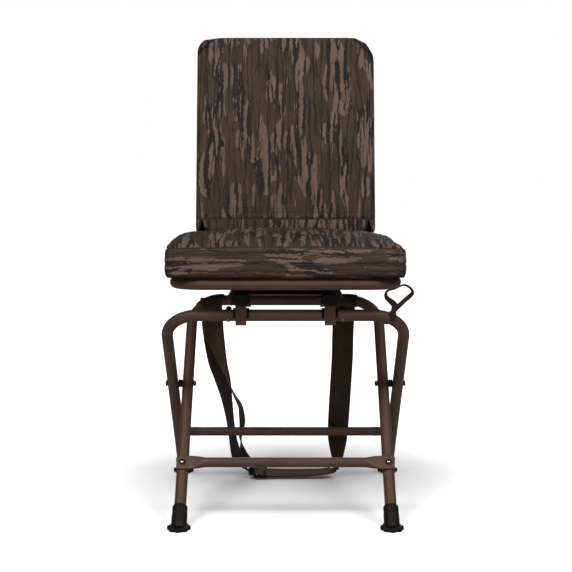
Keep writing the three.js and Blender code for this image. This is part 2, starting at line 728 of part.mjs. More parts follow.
function backFrame() {
  let tube = sweep(backPath(-16), BACK_TUBE_R, BACK_TUBE_R - TUBE_WALL, 14, 8);
  for (const sx of [-1, 1]) {
    tube = tube.subtract(cylinderX(PIVOT_HOLE_R,
      sx * (BACK_TUBE_X - 14), sx * BACK_TUBE_X, BACK_PIVOT_Y, BACK_PIVOT_Z, 12));
  }
  return tube;
}

// notches in the pad's lower edge, round the tube ends
const NOTCH_X = 173.3;
const NOTCH_W = 30;
const NOTCH_DEPTH = 80;
const NOTCH_H = 60;
const NOTCH_TOP = 10.2;                   // above the pivot

function padNotch(sx) {
  const notch = new THREE.BoxGeometry(NOTCH_W, NOTCH_DEPTH, NOTCH_H);
  notch.applyMatrix4(new THREE.Matrix4().makeBasis(X_AXIS, BACK_OUT, BACK_UP));
  const centre = backPoint(sx * NOTCH_X, 0, NOTCH_TOP - NOTCH_H / 2);
  notch.translate(centre.x, centre.y, centre.z);
  return solid(notch);
}

function backPad() {
  const cornerX = BACK_TOP_HALF_W - BACK_CORNER_R;
  const cornerUp = BACK_ABOVE - BACK_CORNER_R;
  // [x, along the back]
  const outline = [
    [-BACK_HALF_W + 2, -BACK_BELOW],
    [BACK_HALF_W - 2, -BACK_BELOW],
    [BACK_HALF_W, -BACK_BELOW + 4],
    ...arc(cornerX, cornerUp, BACK_CORNER_R, 0, QUARTER, 5),
    ...arc(-cornerX, cornerUp, BACK_CORNER_R, QUARTER, Math.PI, 5),
    [-BACK_HALF_W, -BACK_BELOW + 4],
  ];
  const geometry = new THREE.ExtrudeGeometry(shapeOf(outline), {
    depth: BACK_FRONT_T + BACK_REAR_T - 2 * PAD_BEVEL,
    steps: 1,
    bevelEnabled: true,
    bevelThickness: PAD_BEVEL,
    bevelSize: PAD_BEVEL,
    bevelOffset: -PAD_BEVEL,
    bevelSegments: 1,
  });
  // extruded forward from the rear face
  geometry.applyMatrix4(
    new THREE.Matrix4().makeBasis(X_AXIS, BACK_UP, BACK_OUT.clone().negate()));
  const origin = backPoint(0, BACK_REAR_T - PAD_BEVEL, 0);
  geometry.translate(origin.x, origin.y, origin.z);
  return solid(geometry)
    .subtract(sweep(backPath(-60), BACK_TUBE_R + 0.7, 0, 12))
    .subtract(padNotch(-1))
    .subtract(padNotch(1));
}

// upright plate from the seat ring to the back pivot
const BRACKET_X = 165;
const BRACKET_T = 4;
const BRACKET_BOTTOM_Z = RING_Z - TUBE_R + 0.2;
// outline, [y, z]
const BRACKET = [
  [199.1, BRACKET_BOTTOM_Z], [217, BRACKET_BOTTOM_Z], [217, 476], [213, BACK_PIVOT_Z - 2],
  ...arc(BACK_PIVOT_Y, BACK_PIVOT_Z, 9, 0, Math.PI, 8),
  [195, BACK_PIVOT_Z - 2], [199.1, 476],
];
// [radius, height above the seat]
const BACK_BOLT_HEAD = [[6, 0], [6, 1.2], [4.4, 2.5], [0, 3]];

function backBracket(sx) {
  const x = sx * BRACKET_X;
  return prismX(BRACKET, x - BRACKET_T / 2, x + BRACKET_T / 2)
    .subtract(cylinderX(PIVOT_HOLE_R, sx * 150, sx * 175, BACK_PIVOT_Y, BACK_PIVOT_Z, 12));
}

function backPivotBolt(sx) {
  const seatX = BRACKET_X - BRACKET_T / 2 - GAP;
  return bolt(PIVOT_SHANK_R, 17, BACK_BOLT_HEAD,
    vec(sx * seatX, BACK_PIVOT_Y, BACK_PIVOT_Z), vec(-sx, 0, 0), 12);
}

function backTubePlug(sx) {
  const capR = BACK_TUBE_R - 0.2;
  const stemR = BACK_TUBE_R - TUBE_WALL - 1;
  return turned([[0, 0], [capR, 0], [capR, 2], [stemR, 2], [stemR, 8], [0, 8]],
    backPoint(sx * BACK_TUBE_X, 0, -18.3), BACK_UP, 14);
}

// ------------------------------------------------------------------ carry strap

const STRAP_Y0 = 157.4;
const STRAP_Y1 = 159.4;
// band outline, [x, z]: the outer edge from left to right, then the inner edge back
const STRAP_BAND = [
  [-174, 380], [-174, 330], [-142, 190], [-122, 62], [-104, 12], [-90, 3.5],
  [104, 3.5], [126, 10], [128, 60], [143, 190], [146, 330], [150, 385],
  [106, 385], [100, 330], [97, 190], [92, 60], [88, 26],
  [-77, 26], [-80, 34], [-88, 66], [-97, 190], [-128, 330], [-130, 385],
];

// sleeve of webbing round the rear bar
function strapWrap(x0, x1) {
  const spans = 4;
  const samples = Array.from({ length: spans + 1 }, (_, i) => (
    barAt(INNER, x0 + ((x1 - x0) * i) / spans)));
  const path = new SampledPath(
    samples.map(({ point }) => point), samples.map(({ tangent }) => tangent));
  return sweep(path, TUBE_R + 2.6, TUBE_R + 0.8, 12, 12);
}

const carryStrap = () => prismY(STRAP_BAND, STRAP_Y0, STRAP_Y1)
  .add(strapWrap(-176, -130))
  .add(strapWrap(108, 154));

const strapSlider = () => block(-74, -48, 154.7, 162.1, 0.8, 29)
  .subtract(block(-76, -46, STRAP_Y0 - 0.5, STRAP_Y1 + 0.5, 2.9, 26.8));

// ------------------------------------------------------------------- assembly

const object = new THREE.Group();

function add(name, body, finish) {
  const material = new THREE.MeshStandardMaterial(FINISH[finish]);
  const mesh = new THREE.Mesh(geometryOf(body), material);
  mesh.name = name;
  object.add(mesh);
}

const SIDES = [[-1, 'left'], [1, 'right']];

add('inner_leg_frame', legTube(INNER), 'paint');
add('outer_leg_frame', legTube(OUTER), 'paint');
add('front_stretcher', stretcher(INNER), 'paint');
add('rear_stretcher', stretcher(OUTER), 'paint');
for (const [sx, word] of SIDES) {
  add(`front_foot_${word}`, foot(INNER, sx), 'rubber');
  add(`rear_foot_${word}`, foot(OUTER, sx), 'rubber');
  add(`front_stretcher_bolt_${word}`, stretcherBolt(INNER, sx), 'stretcherBolt');
  add(`rear_stretcher_bolt_${word}`, stretcherBolt(OUTER, sx), 'stretcherBolt');
  add(`pivot_bolt_${word}`, pivotBolt(sx), 'pivotBolt');
  add(`pivot_spacer_${word}`, pivotSpacer(sx), 'plastic');
  add(`pivot_nut_${word}`, pivotNut(sx), 'pivotBolt');
  add(`fold_bumper_${word}`, foldBumper(sx), 'rubber');
  add(`bumper_rivet_${word}`, bumperRivet(sx), 'rivet');
}
add('keeper_loop', keeperLoop(), 'webbing');

add('base_plate', basePlate(), 'paint');
for (const [sx, word] of SIDES) {
  add(`hook_bracket_${word}`, hookBracket(sx), 'hook');
  add(`clip_block_${word}`, clipBlock(sx), 'clip');
  add(`clip_liner_${word}`, clipLiner(sx), 'clip');
  add(`rear_clamp_${word}`, rearClamp(sx), 'paint');
}
for (const [name, outerR, innerR, bottom, top, sides, finish] of TURNTABLE) {
  add(name, turntableRing(outerR, innerR, bottom, top, sides), finish);
}

add('cross_member_front', crossMember(-1), 'paint');
add('cross_member_rear', crossMember(1), 'paint');
add('seat_ring', seatRing(), 'paint');
add('seat_pan', seatPan(), 'seatPan');
add('seat_cushion', seatCushion(), 'camo');

add('back_frame', backFrame(), 'paint');
add('back_pad', backPad(), 'camo');
for (const [sx, word] of SIDES) {
  add(`back_bracket_${word}`, backBracket(sx), 'blackSteel');
  add(`back_pivot_bolt_${word}`, backPivotBolt(sx), 'pivotBolt');
  add(`back_tube_plug_${word}`, backTubePlug(sx), 'plastic');
}

add('carry_strap', carryStrap(), 'webbing');
add('strap_slider', strapSlider(), 'slider');

export default object;
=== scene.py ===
# A folding swivel seat with a backrest: two crossed tubular leg frames, a ball bearing under a
# seat ring, a boxed cushion and back pad in printed cloth, and a webbing carry strap.
# +X is right, -Y is front and +Z is up; the floor is z = 0 and x = 0 is the middle plane.
# Shapes are worked out in millimetres and stored in metres. Stage, lights and camera are in metres.
import bpy
import bmesh
import math
import numpy as np
from mathutils import Vector, Matrix
from mathutils.bvhtree import BVHTree

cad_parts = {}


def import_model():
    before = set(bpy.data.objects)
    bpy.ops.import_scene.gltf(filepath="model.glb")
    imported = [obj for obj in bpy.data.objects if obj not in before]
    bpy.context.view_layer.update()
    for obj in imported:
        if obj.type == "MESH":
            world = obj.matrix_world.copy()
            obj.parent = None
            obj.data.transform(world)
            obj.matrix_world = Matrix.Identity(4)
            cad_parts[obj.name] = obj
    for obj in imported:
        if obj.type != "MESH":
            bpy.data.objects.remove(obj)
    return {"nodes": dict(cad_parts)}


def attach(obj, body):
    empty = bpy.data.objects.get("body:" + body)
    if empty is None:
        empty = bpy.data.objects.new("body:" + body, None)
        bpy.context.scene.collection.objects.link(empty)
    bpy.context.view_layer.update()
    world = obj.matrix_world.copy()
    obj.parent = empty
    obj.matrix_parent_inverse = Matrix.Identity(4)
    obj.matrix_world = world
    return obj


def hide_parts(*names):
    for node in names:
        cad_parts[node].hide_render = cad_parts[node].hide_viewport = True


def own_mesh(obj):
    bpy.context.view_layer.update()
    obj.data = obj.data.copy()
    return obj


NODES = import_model()["nodes"]
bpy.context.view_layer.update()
scene = bpy.context.scene
MM = 0.001
SIDES = ((-1, "left"), (1, "right"))

# ------------------------------------------------------------------ dimensions (mm)
TUBE_R = 11.0
CLEARANCE = 0.3                       # between a tube and what is bolted to it
BAR_Y, BAR_Z = 146.0, 386.4           # top bar of each leg frame
FOOT_Y, FOOT_REF_Z = 218.0, 6.0
OUTER_X, INNER_X, BEND_R = 224.7, 194.8, 62.0
STRETCHER_Z = 97.7
LEG_LEN = math.hypot(BAR_Y + FOOT_Y, BAR_Z - FOOT_REF_Z)
LEG_DY = (BAR_Y + FOOT_Y) / LEG_LEN
LEG_DZ = -(BAR_Z - FOOT_REF_Z) / LEG_LEN
PIVOT_Z = BAR_Z + LEG_DZ * (BAR_Y / LEG_DY)
BASE_TOP_Z = 424.5
RING_Z, RING_HX, RING_HY, RING_BEND = 448.3, 204.5, 189.0, 55.0
BACK_Y, BACK_Z, LEAN = 204.0, 545.0, math.radians(8)
BACK_TUBE_X, BACK_TUBE_R, BACK_TUBE_TOP, BACK_BEND = 177.0, 9.5, 388, 42
BACK_UP = np.array([0, math.sin(LEAN), math.cos(LEAN)])
BACK_OUT = np.array([0, math.cos(LEAN), -math.sin(LEAN)])  # to the rear of the backrest

# layer, end where its feet stand, sign of y at the feet, half width
LEG_FRAMES = (("inner", "front", -1, INNER_X), ("outer", "rear", 1, OUTER_X))


def leg_point(side, x, along):
    """Point on a leg plane, `along` mm down from the top bar; side is the sign of y at the feet."""
    return np.array([x, side * (-BAR_Y + LEG_DY * along), BAR_Z + LEG_DZ * along])


def leg_at(z):
    return (BAR_Z - z) / -LEG_DZ


def leg_dir(side):
    return np.array([0.0, side * LEG_DY, LEG_DZ])


def face_dir(side):
    """Upward normal of a leg plane."""
    return np.array([0.0, side * -LEG_DZ, LEG_DY])


def back_point(x, depth, up):
    """Point in the backrest's own frame: across, to the rear, and up the lean."""
    return np.array([x, BACK_Y, BACK_Z]) + BACK_OUT * depth + BACK_UP * up


def unit(vector):
    vector = np.asarray(vector, float)
    return vector / np.linalg.norm(vector)


# ------------------------------------------------------------------ materials
SOCKETS = dict(color="Base Color", rough="Roughness", normal="Normal", metal="Metallic",
               specular="Specular IOR Level", sheen="Sheen Weight", sheen_rough="Sheen Roughness")


class Shader:
    """A material with a Principled shader, and short calls that add and link nodes."""

    def __init__(self, name):
        self.material = bpy.data.materials.new(name)
        self.material.use_nodes = True
        self.tree = self.material.node_tree
        self.tree.nodes.clear()
        self.out = self.add("OutputMaterial")
        self.bsdf = self.add("BsdfPrincipled")
        self.plug(self.bsdf.outputs[0], self.out.inputs[0])

    def add(self, kind, *inputs, **props):
        node = self.tree.nodes.new("ShaderNode" + kind)
        for key, value in props.items():
            setattr(node, key, value)
        for value, socket in zip(inputs, node.inputs):
            self.plug(value, socket)
        return node

    def plug(self, value, socket):
        if isinstance(value, bpy.types.NodeSocket):
            self.tree.links.new(value, socket)
        elif isinstance(value, tuple) and len(value) == 3 and socket.type == "RGBA":
            socket.default_value = (*value, 1)
        else:
            socket.default_value = value

    def math(self, operation, first, second=0.0, *third, clamp=False):
        node = self.add("Math", first, second, *third, operation=operation, use_clamp=clamp)
        return node.outputs[0]

    def times(self, first, second):
        return self.math("MULTIPLY", first, second)

    def vmath(self, operation, first, second):
        return self.add("VectorMath", first, second, operation=operation).outputs[0]

    def noise(self, vector, scale=1.0, detail=3.0, rough=0.5, distort=0.0,
              stretch=None, shift=None, output="Fac"):
        if stretch is not None:
            vector = self.vmath("MULTIPLY", vector, stretch)
        if shift is not None:
            vector = self.vmath("ADD", vector, shift)
        node = self.add("TexNoise", vector)
        for key, value in (("Scale", scale), ("Detail", detail), ("Roughness", rough),
                           ("Distortion", distort)):
            node.inputs[key].default_value = value
        return node.outputs[output]

    def ramp(self, value, over, to=(0.0, 1.0)):
        """Smooth step of value, from the span `over` to the span `to`."""
        return self.add("MapRange", value, *over, *to, interpolation_type="SMOOTHSTEP").outputs[0]

    def mix(self, factor, first, second):
        node = self.add("Mix", factor, data_type="RGBA")
        self.plug(first, node.inputs[6])
        self.plug(second, node.inputs[7])
        return node.outputs[2]

    def blend(self, value, first, second, over, to=(0.0, 1.0)):
        return self.mix(self.ramp(value, over, to), first, second)

    def bump(self, height, strength, distance, normal=None):
        node = self.add("Bump")
        node.inputs["Strength"].default_value = strength
        node.inputs["Distance"].default_value = distance
        self.plug(height, node.inputs["Height"])
        if normal is not None:
            self.plug(normal, node.inputs["Normal"])
        return node.outputs[0]

    def coords(self):
        return self.add("TexCoord").outputs["Object"]

    def attribute(self, name, output="Vector"):
        return self.add("Attribute", attribute_name=name).outputs[output]

    def axes(self, vector):
        return self.add("SeparateXYZ", vector).outputs

    def surface(self, **values):
        """Set the Principled inputs and return the material."""
        for key, value in values.items():
            self.plug(value, self.bsdf.inputs[SOCKETS[key]])
        return self.material


def srgb(*levels, gain=1.0):
    """Linear colour from 0-255 sRGB levels."""
    scaled = [level * gain for level in levels]
    return tuple(((c / 255 + 0.055) / 1.055) ** 2.4 if c > 10 else c / 255 / 12.92 for c in scaled)


def powder_coat(name, gain=1.0, specular=0.2, rub=0.4):
    """Satin brown powder coat: fine orange peel, faint tone drift, paler rubbed edges."""
    mat = Shader(name)
    pos = mat.coords()
    drift = mat.noise(pos, scale=9, rough=0.55)
    peel = mat.noise(pos, scale=900, detail=2)
    flake = mat.noise(pos, scale=2600, detail=1)
    color = mat.blend(drift, srgb(68, 49, 37, gain=gain), srgb(76, 56, 43, gain=gain),
                      over=(0.35, 0.65))
    color = mat.blend(flake, color, srgb(98, 77, 64, gain=gain), over=(0.62, 0.7), to=(0, 0.3))
    edges = mat.ramp(mat.add("NewGeometry").outputs["Pointiness"], over=(0.53, 0.6))
    patches = mat.ramp(mat.noise(pos, scale=60, detail=4, rough=0.6), over=(0.45, 0.65))
    color = mat.mix(mat.times(mat.times(edges, patches), rub), color, srgb(112, 94, 82))
    rough = mat.ramp(mat.noise(pos, scale=140, rough=0.6), over=(0.3, 0.7), to=(0.4, 0.52))
    return mat.surface(color=color, metal=0.1, rough=rough, specular=specular,
                       normal=mat.bump(peel, strength=0.12, distance=0.0004))


def rubber():
    """Matt black moulded rubber with pebble grain and patches of dust."""
    mat = Shader("rubber")
    pos = mat.coords()
    grain = mat.noise(pos, scale=1500, detail=2, rough=0.6)
    dust = mat.ramp(mat.noise(pos, scale=45, detail=5, rough=0.65), over=(0.5, 0.75))
    color = mat.mix(mat.times(dust, 0.35), srgb(17, 14, 12), srgb(44, 37, 31))
    return mat.surface(color=color, rough=mat.ramp(dust, over=(0, 1), to=(0.5, 0.75)),
                       normal=mat.bump(grain, strength=0.25, distance=0.0004), specular=0.13)


def plastic():
    """Black moulded nylon: fine texture and soft sheen."""
    mat = Shader("black_plastic")
    pos = mat.coords()
    grain = mat.noise(pos, scale=2200, detail=2)
    color = mat.blend(mat.noise(pos, scale=30), srgb(5, 5, 6), srgb(9, 9, 9), over=(0.4, 0.7))
    rough = mat.ramp(mat.noise(pos, scale=120), over=(0.3, 0.7), to=(0.36, 0.52))
    return mat.surface(color=color, rough=rough, specular=0.07,
                       normal=mat.bump(grain, strength=0.15, distance=0.0003))


def black_steel(name, rough, dark, light):
    """Black oxide or painted steel: faint mottling and scuffs."""
    mat = Shader(name)
    pos = mat.coords()
    mottle = mat.noise(pos, scale=260, detail=4, rough=0.6)
    color = mat.blend(mottle, srgb(dark, dark, dark), srgb(light, light - 1, light - 2),
                      over=(0.35, 0.7))
    scuff = mat.ramp(mat.noise(pos, scale=180, detail=5, rough=0.7, stretch=(1, 1, 6)),
                     over=(0.62, 0.75))
    color = mat.mix(mat.times(scuff, 0.4), color, srgb(96, 92, 90))
    return mat.surface(color=color, metal=0.55, rough=mat.ramp(mottle, over=(0.3, 0.7), to=rough),
                       normal=mat.bump(mottle, strength=0.05, distance=0.0002))


def bright_steel(name, tone):
    """Bare steel brushed along z."""
    mat = Shader(name)
    brush = mat.noise(mat.coords(), scale=500, rough=0.6, stretch=(1, 1, 14))
    color = mat.blend(brush, srgb(*[c - 22 for c in tone]), srgb(*tone), over=(0.3, 0.7))
    return mat.surface(color=color, metal=1.0,
                       rough=mat.ramp(brush, over=(0.3, 0.7), to=(0.22, 0.38)),
                       normal=mat.bump(brush, strength=0.06, distance=0.0001))


def board():
    """Dark stained plywood: long grain and open pores."""
    mat = Shader("pan_board")
    pos = mat.coords()
    grain = mat.noise(pos, scale=6, detail=6, rough=0.65, distort=0.4, stretch=(3, 40, 3))
    pores = mat.noise(pos, scale=4, detail=2, stretch=(30, 400, 30))
    color = mat.blend(grain, srgb(46, 38, 31), srgb(74, 60, 47), over=(0.35, 0.65))
    color = mat.blend(pores, color, srgb(24, 20, 17), over=(0.6, 0.7), to=(0, 0.6))
    return mat.surface(color=color, rough=0.62,
                       normal=mat.bump(grain, strength=0.2, distance=0.0005))


def webbing(name, gain=1.0):
    """Flat woven webbing. UV: u across 0..1, v along in metres."""
    rib_pitch, rib_slant, warp_count = 0.0026, 66, 34
    mat = Shader(name)
    across, along, _ = mat.axes(mat.add("UVMap").outputs["UV"])
    # diagonal twill ribs that turn at the middle: a herringbone weave
    fold = mat.math("ABSOLUTE", mat.math("SUBTRACT", across, 0.5))
    phase = mat.math("ADD", mat.times(along, math.tau / rib_pitch), mat.times(fold, rib_slant))
    rib = mat.math("MULTIPLY_ADD", mat.math("SINE", phase), 0.5, 0.5)
    warp_wave = mat.math("SINE", mat.times(across, math.tau * warp_count))
    warp = mat.math("MULTIPLY_ADD", warp_wave, 0.5, 0.5)
    weave = mat.math("MULTIPLY_ADD", rib, 0.65, mat.times(warp, 0.35))
    pos = mat.coords()
    tone = mat.noise(pos, scale=26, detail=4, rough=0.6)
    fuzz = mat.noise(pos, scale=1600, detail=2, rough=0.6)
    color = mat.blend(tone, srgb(44, 33, 22, gain=gain), srgb(54, 41, 29, gain=gain),
                      over=(0.3, 0.7))
    color = mat.blend(weave, color, srgb(26, 19, 13, gain=gain), over=(0.15, 0.6), to=(0.6, 0))
    edge = mat.ramp(fold, over=(0.455, 0.49))
    color = mat.mix(mat.times(edge, 0.45), color, srgb(76, 62, 50))
    color = mat.blend(fuzz, color, srgb(88, 74, 61), over=(0.6, 0.75), to=(0, 0.3))
    woven = mat.bump(weave, strength=0.55, distance=0.0007)
    return mat.surface(color=color, rough=0.85, sheen=0.04, sheen_rough=0.5, specular=0.15,
                       normal=mat.bump(fuzz, strength=0.2, distance=0.0002, normal=woven))


def camo_fabric():
    """Printed woven polyester in a generic bark: long plates in two browns with dark fissures.
    Attribute pat is the place in the print in metres: x across its grain, y along it, z a
    layer offset. Attribute grime darkens the cloth: painted shade along seams, in tucks, at bottom
    edges and on upward faces, mottled so that it also reads as dirt."""
    mat = Shader("camo_fabric")
    pat = mat.attribute("pat")

    def warp(vector, amount, stretch, detail=2.0, rough=0.5, shift=(0.0, 0.0, 0.0)):
        color = mat.noise(pat, stretch=stretch, shift=shift, detail=detail, rough=rough,
                          output="Color")
        centred = mat.vmath("SUBTRACT", color, (0.5, 0.5, 0.5))
        return mat.vmath("ADD", vector, mat.vmath("MULTIPLY", centred, amount))

    # smooth-lobed plates of the base brown lying over paler wood
    lobed = warp(pat, amount=(0.017, 0.03, 0.0), stretch=(28, 14, 20))
    plate = mat.ramp(mat.noise(lobed, stretch=(23, 9.5, 9), detail=1.0, rough=0.4),
                     over=(0.476, 0.484))
    wood = mat.math("SUBTRACT", 1.0, plate, clamp=True)
    ragged = warp(pat, amount=(0.018, 0.03, 0.0), stretch=(20, 9, 15))
    ragged = warp(ragged, amount=(0.006, 0.012, 0.0), stretch=(140, 80, 60), detail=3.0, rough=0.65)

    def streaks(over, **noise):
        return mat.ramp(mat.noise(ragged, **noise), over=over)

    strip = streaks((0.60, 0.61), stretch=(52, 7.5, 9), detail=1.2, rough=0.45)
    gaps = streaks((0.36, 0.37), stretch=(40, 8.0, 7), detail=1.2, rough=0.45)
    pale = mat.math("MAXIMUM", mat.times(wood, gaps), strip)

    def fissures(spacing, width, shift, over):
        """Long meandering splits at a spacing, with ragged banks and breaks."""
        bent = warp(pat, amount=(0.042, 0.0, 0.0), stretch=(15, 6.5, 15), detail=2.2, shift=shift)
        bent = warp(bent, amount=(0.0085, 0.0, 0.0), stretch=(60, 95, 60), detail=2.5, rough=0.6,
                    shift=shift)
        across = mat.math("ADD", mat.axes(bent)[0], 5.0 + shift[0])
        phase = mat.math("FRACT", mat.math("DIVIDE", across, spacing))
        distance = mat.times(mat.math("ABSOLUTE", mat.math("SUBTRACT", phase, 0.5)), spacing)
        gate = mat.noise(pat, stretch=(33, 13, 9), shift=shift, detail=2.0, rough=0.55)
        half = mat.times(mat.ramp(gate, over=over),
                         mat.math("MULTIPLY_ADD", wood, width * 0.5, width * 0.5))
        return mat.ramp(mat.math("SUBTRACT", distance, half), over=(-0.00025, 0.00025), to=(1, 0))

    wide = fissures(spacing=0.0163, width=0.0034, shift=(3.1, 1.7, 0.3), over=(0.35, 0.56))
    sparse = fissures(spacing=0.0217, width=0.0036, shift=(7.7, 4.2, 1.9), over=(0.36, 0.56))
    fine = fissures(spacing=0.0118, width=0.0022, shift=(1.3, 8.8, 3.1), over=(0.45, 0.62))
    knot = streaks((0.668, 0.678), stretch=(62, 20, 13), detail=2, rough=0.55)
    dark = mat.math("MAXIMUM", mat.math("MAXIMUM", wide, sparse),
                    mat.math("MAXIMUM", fine, mat.times(knot, wood)))
    # fainter streaking inside the plates
    faint = streaks((0.56, 0.585), stretch=(95, 9, 11), detail=1.6)

    def ink(*levels):
        return srgb(*levels, gain=0.995)

    tone = mat.noise(pat, stretch=(80, 12, 30), detail=4, rough=0.6)
    base = mat.blend(tone, ink(63, 52, 40), ink(71, 59, 46), over=(0.4, 0.6))
    base = mat.mix(mat.times(faint, 0.5), base, ink(51, 45, 39))
    pale_ink = mat.blend(tone, ink(95, 78, 67), ink(105, 88, 77), over=(0.4, 0.62))
    dark_ink = mat.blend(tone, ink(35, 35, 34), ink(43, 42, 40), over=(0.42, 0.6))
    color = mat.mix(pale, base, pale_ink)
    color = mat.mix(mat.times(dark, mat.math("MULTIPLY_ADD", wood, 0.12, 0.88)), color, dark_ink)
    # painted shade with some dirt: the grime attribute, broken up by a blotchy noise
    blotch = mat.ramp(mat.noise(pat, scale=260, rough=0.6), over=(0.2, 0.6), to=(0.75, 1.0))
    shade_and_grime = mat.times(mat.attribute("shade_and_grime", output="Fac"), blotch)
    color = mat.mix(shade_and_grime, color, srgb(20, 16, 13))

    # woven ground with heather; the pitch is in metres
    yarn_pitch = 0.00058
    x, y, z = mat.axes(pat)
    warp_phase = mat.times(mat.math("ADD", x, z), math.tau / yarn_pitch)
    weft_phase = mat.times(mat.math("SUBTRACT", y, z), math.tau / yarn_pitch)
    weave = mat.times(mat.math("SINE", warp_phase), mat.math("SINE", weft_phase))
    heather = mat.noise(pat, stretch=(1500, 420, 900), detail=2, rough=0.6)
    slub = mat.noise(pat, stretch=(420, 1900, 900), detail=2, rough=0.6)
    color = mat.blend(heather, color, srgb(22, 20, 18), over=(0.3, 0.7), to=(0.16, 0.0))
    color = mat.blend(slub, color, srgb(150, 135, 120), over=(0.62, 0.75), to=(0.0, 0.16))
    normal = mat.bump(mat.noise(mat.coords(), scale=38), strength=0.12, distance=0.004)
    normal = mat.bump(weave, strength=0.22, distance=0.00022, normal=normal)
    normal = mat.bump(heather, strength=0.18, distance=0.0003, normal=normal)
    return mat.surface(color=color, rough=mat.ramp(heather, over=(0.3, 0.7), to=(0.72, 0.86)),
                       normal=normal, specular=0.05)


def thread():
    mat = Shader("thread")
    ply = mat.noise(mat.coords(), scale=3000, detail=2, rough=0.6)
    color = mat.blend(ply, srgb(34, 26, 19), srgb(50, 42, 35), over=(0.35, 0.65))
    return mat.surface(color=color, rough=0.7, sheen=0.3,
                       normal=mat.bump(ply, strength=0.3, distance=0.0002))


def lining():
    """Black backing cloth, matt enough to read as a hole: painted shade for the dark inside of the
    back pad's slits.
    """
    mat = Shader("lining_painted_shade")
    ply = mat.noise(mat.coords(), scale=1400, detail=2, rough=0.6)
    color = mat.blend(ply, srgb(4, 4, 4), srgb(9, 8, 8), over=(0.35, 0.65))
    return mat.surface(color=color, rough=1.0, specular=0.0,
                       normal=mat.bump(ply, strength=0.3, distance=0.0002))


COAT = powder_coat("powder_coat")
# darker copy of the powder coat: painted shade for the hook brackets under the seat
COAT_SHADED = powder_coat("powder_coat_painted_shade", gain=0.86, specular=0.05, rub=0.12)
RUBBER = rubber()
PLASTIC = plastic()
BLACK = black_steel("black_steel", rough=(0.34, 0.5), dark=12, light=22)
FASTENER = black_steel("black_fastener", rough=(0.22, 0.36), dark=12, light=24)
BRIGHT = bright_steel("bright_steel", tone=(176, 174, 170))
RIVET = bright_steel("rivet_steel", tone=(120, 100, 90))
BOARD = board()
WEB = webbing("webbing")
# lighter and darker copies of the same webbing: painted light on the tail and the doubled band,
# painted shade on the load band
WEB_LIT = webbing("webbing_painted_light", gain=1.4)
WEB_SHADED = webbing("webbing_painted_shade", gain=0.76)
CAMO = camo_fabric()
THREAD = thread()
LINER_SHADE = lining()


# ------------------------------------------------------------------ mesh helpers
def shade_smooth(obj, sharp=None):
    """Smooth faces, with edges over `sharp` degrees kept hard."""
    for poly in obj.data.polygons:
        poly.use_smooth = True
    if sharp is not None:
        obj.data.set_sharp_from_angle(angle=math.radians(sharp))


def obj_from(name, verts, faces, mats, smooth=True, uvs=None, face_mats=None, scale=MM):
    mesh = bpy.data.meshes.new(name)
    mesh.from_pydata([tuple(np.asarray(v) * scale) for v in verts], [],
                     [tuple(int(i) for i in face) for face in faces])
    mesh.update()
    for mat in mats if isinstance(mats, list) else [mats]:
        mesh.materials.append(mat)
    if face_mats is not None:
        for poly, index in zip(mesh.polygons, face_mats):
            poly.material_index = index
    if uvs is not None:
        layer = mesh.uv_layers.new(name="UVMap")
        for loop in mesh.loops:
            layer.data[loop.index].uv = uvs[loop.vertex_index]
    obj = bpy.data.objects.new(name, mesh)
    scene.collection.objects.link(obj)
    bm = bmesh.new()
    bm.from_mesh(mesh)
    bmesh.ops.recalc_face_normals(bm, faces=bm.faces)
    bm.to_mesh(mesh)
    bm.free()
    if smooth:
        shade_smooth(obj, sharp=38)
    return obj


def register(obj, body):
    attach(obj, body)
    if obj.name.startswith("look_"):
        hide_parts(obj.name.removeprefix("look_"))


def loft(rings, closed=False, cap=True):
    """Faces over equal rings of points, with fans to a middle point at open ends."""
    rings = np.asarray(rings, float)
    count, size = rings.shape[:2]
    verts = list(rings.reshape(-1, 3))
    faces = []
    for i in range(count if closed else count - 1):
        j = (i + 1) % count
        for k in range(size):
            l = (k + 1) % size
            faces.append((i * size + k, i * size + l, j * size + l, j * size + k))
    if cap and not closed:
        for base, flip in ((0, True), ((count - 1) * size, False)):
            centre = len(verts)
            verts.append(np.mean(verts[base:base + size], axis=0))
            for k in range(size):
                l = (k + 1) % size
                faces.append((base + l, base + k, centre) if flip
                             else (base + k, base + l, centre))
    return verts, faces


def flat_loft(rings):
    """Loft with one flat face over each end."""
    verts, faces = loft(rings, cap=False)
    size, total = len(rings[0]), len(verts)
    return verts, faces + [tuple(range(size - 1, -1, -1)), tuple(range(total - size, total))]


def angles(count):
    return np.linspace(0, math.tau, count, endpoint=False)


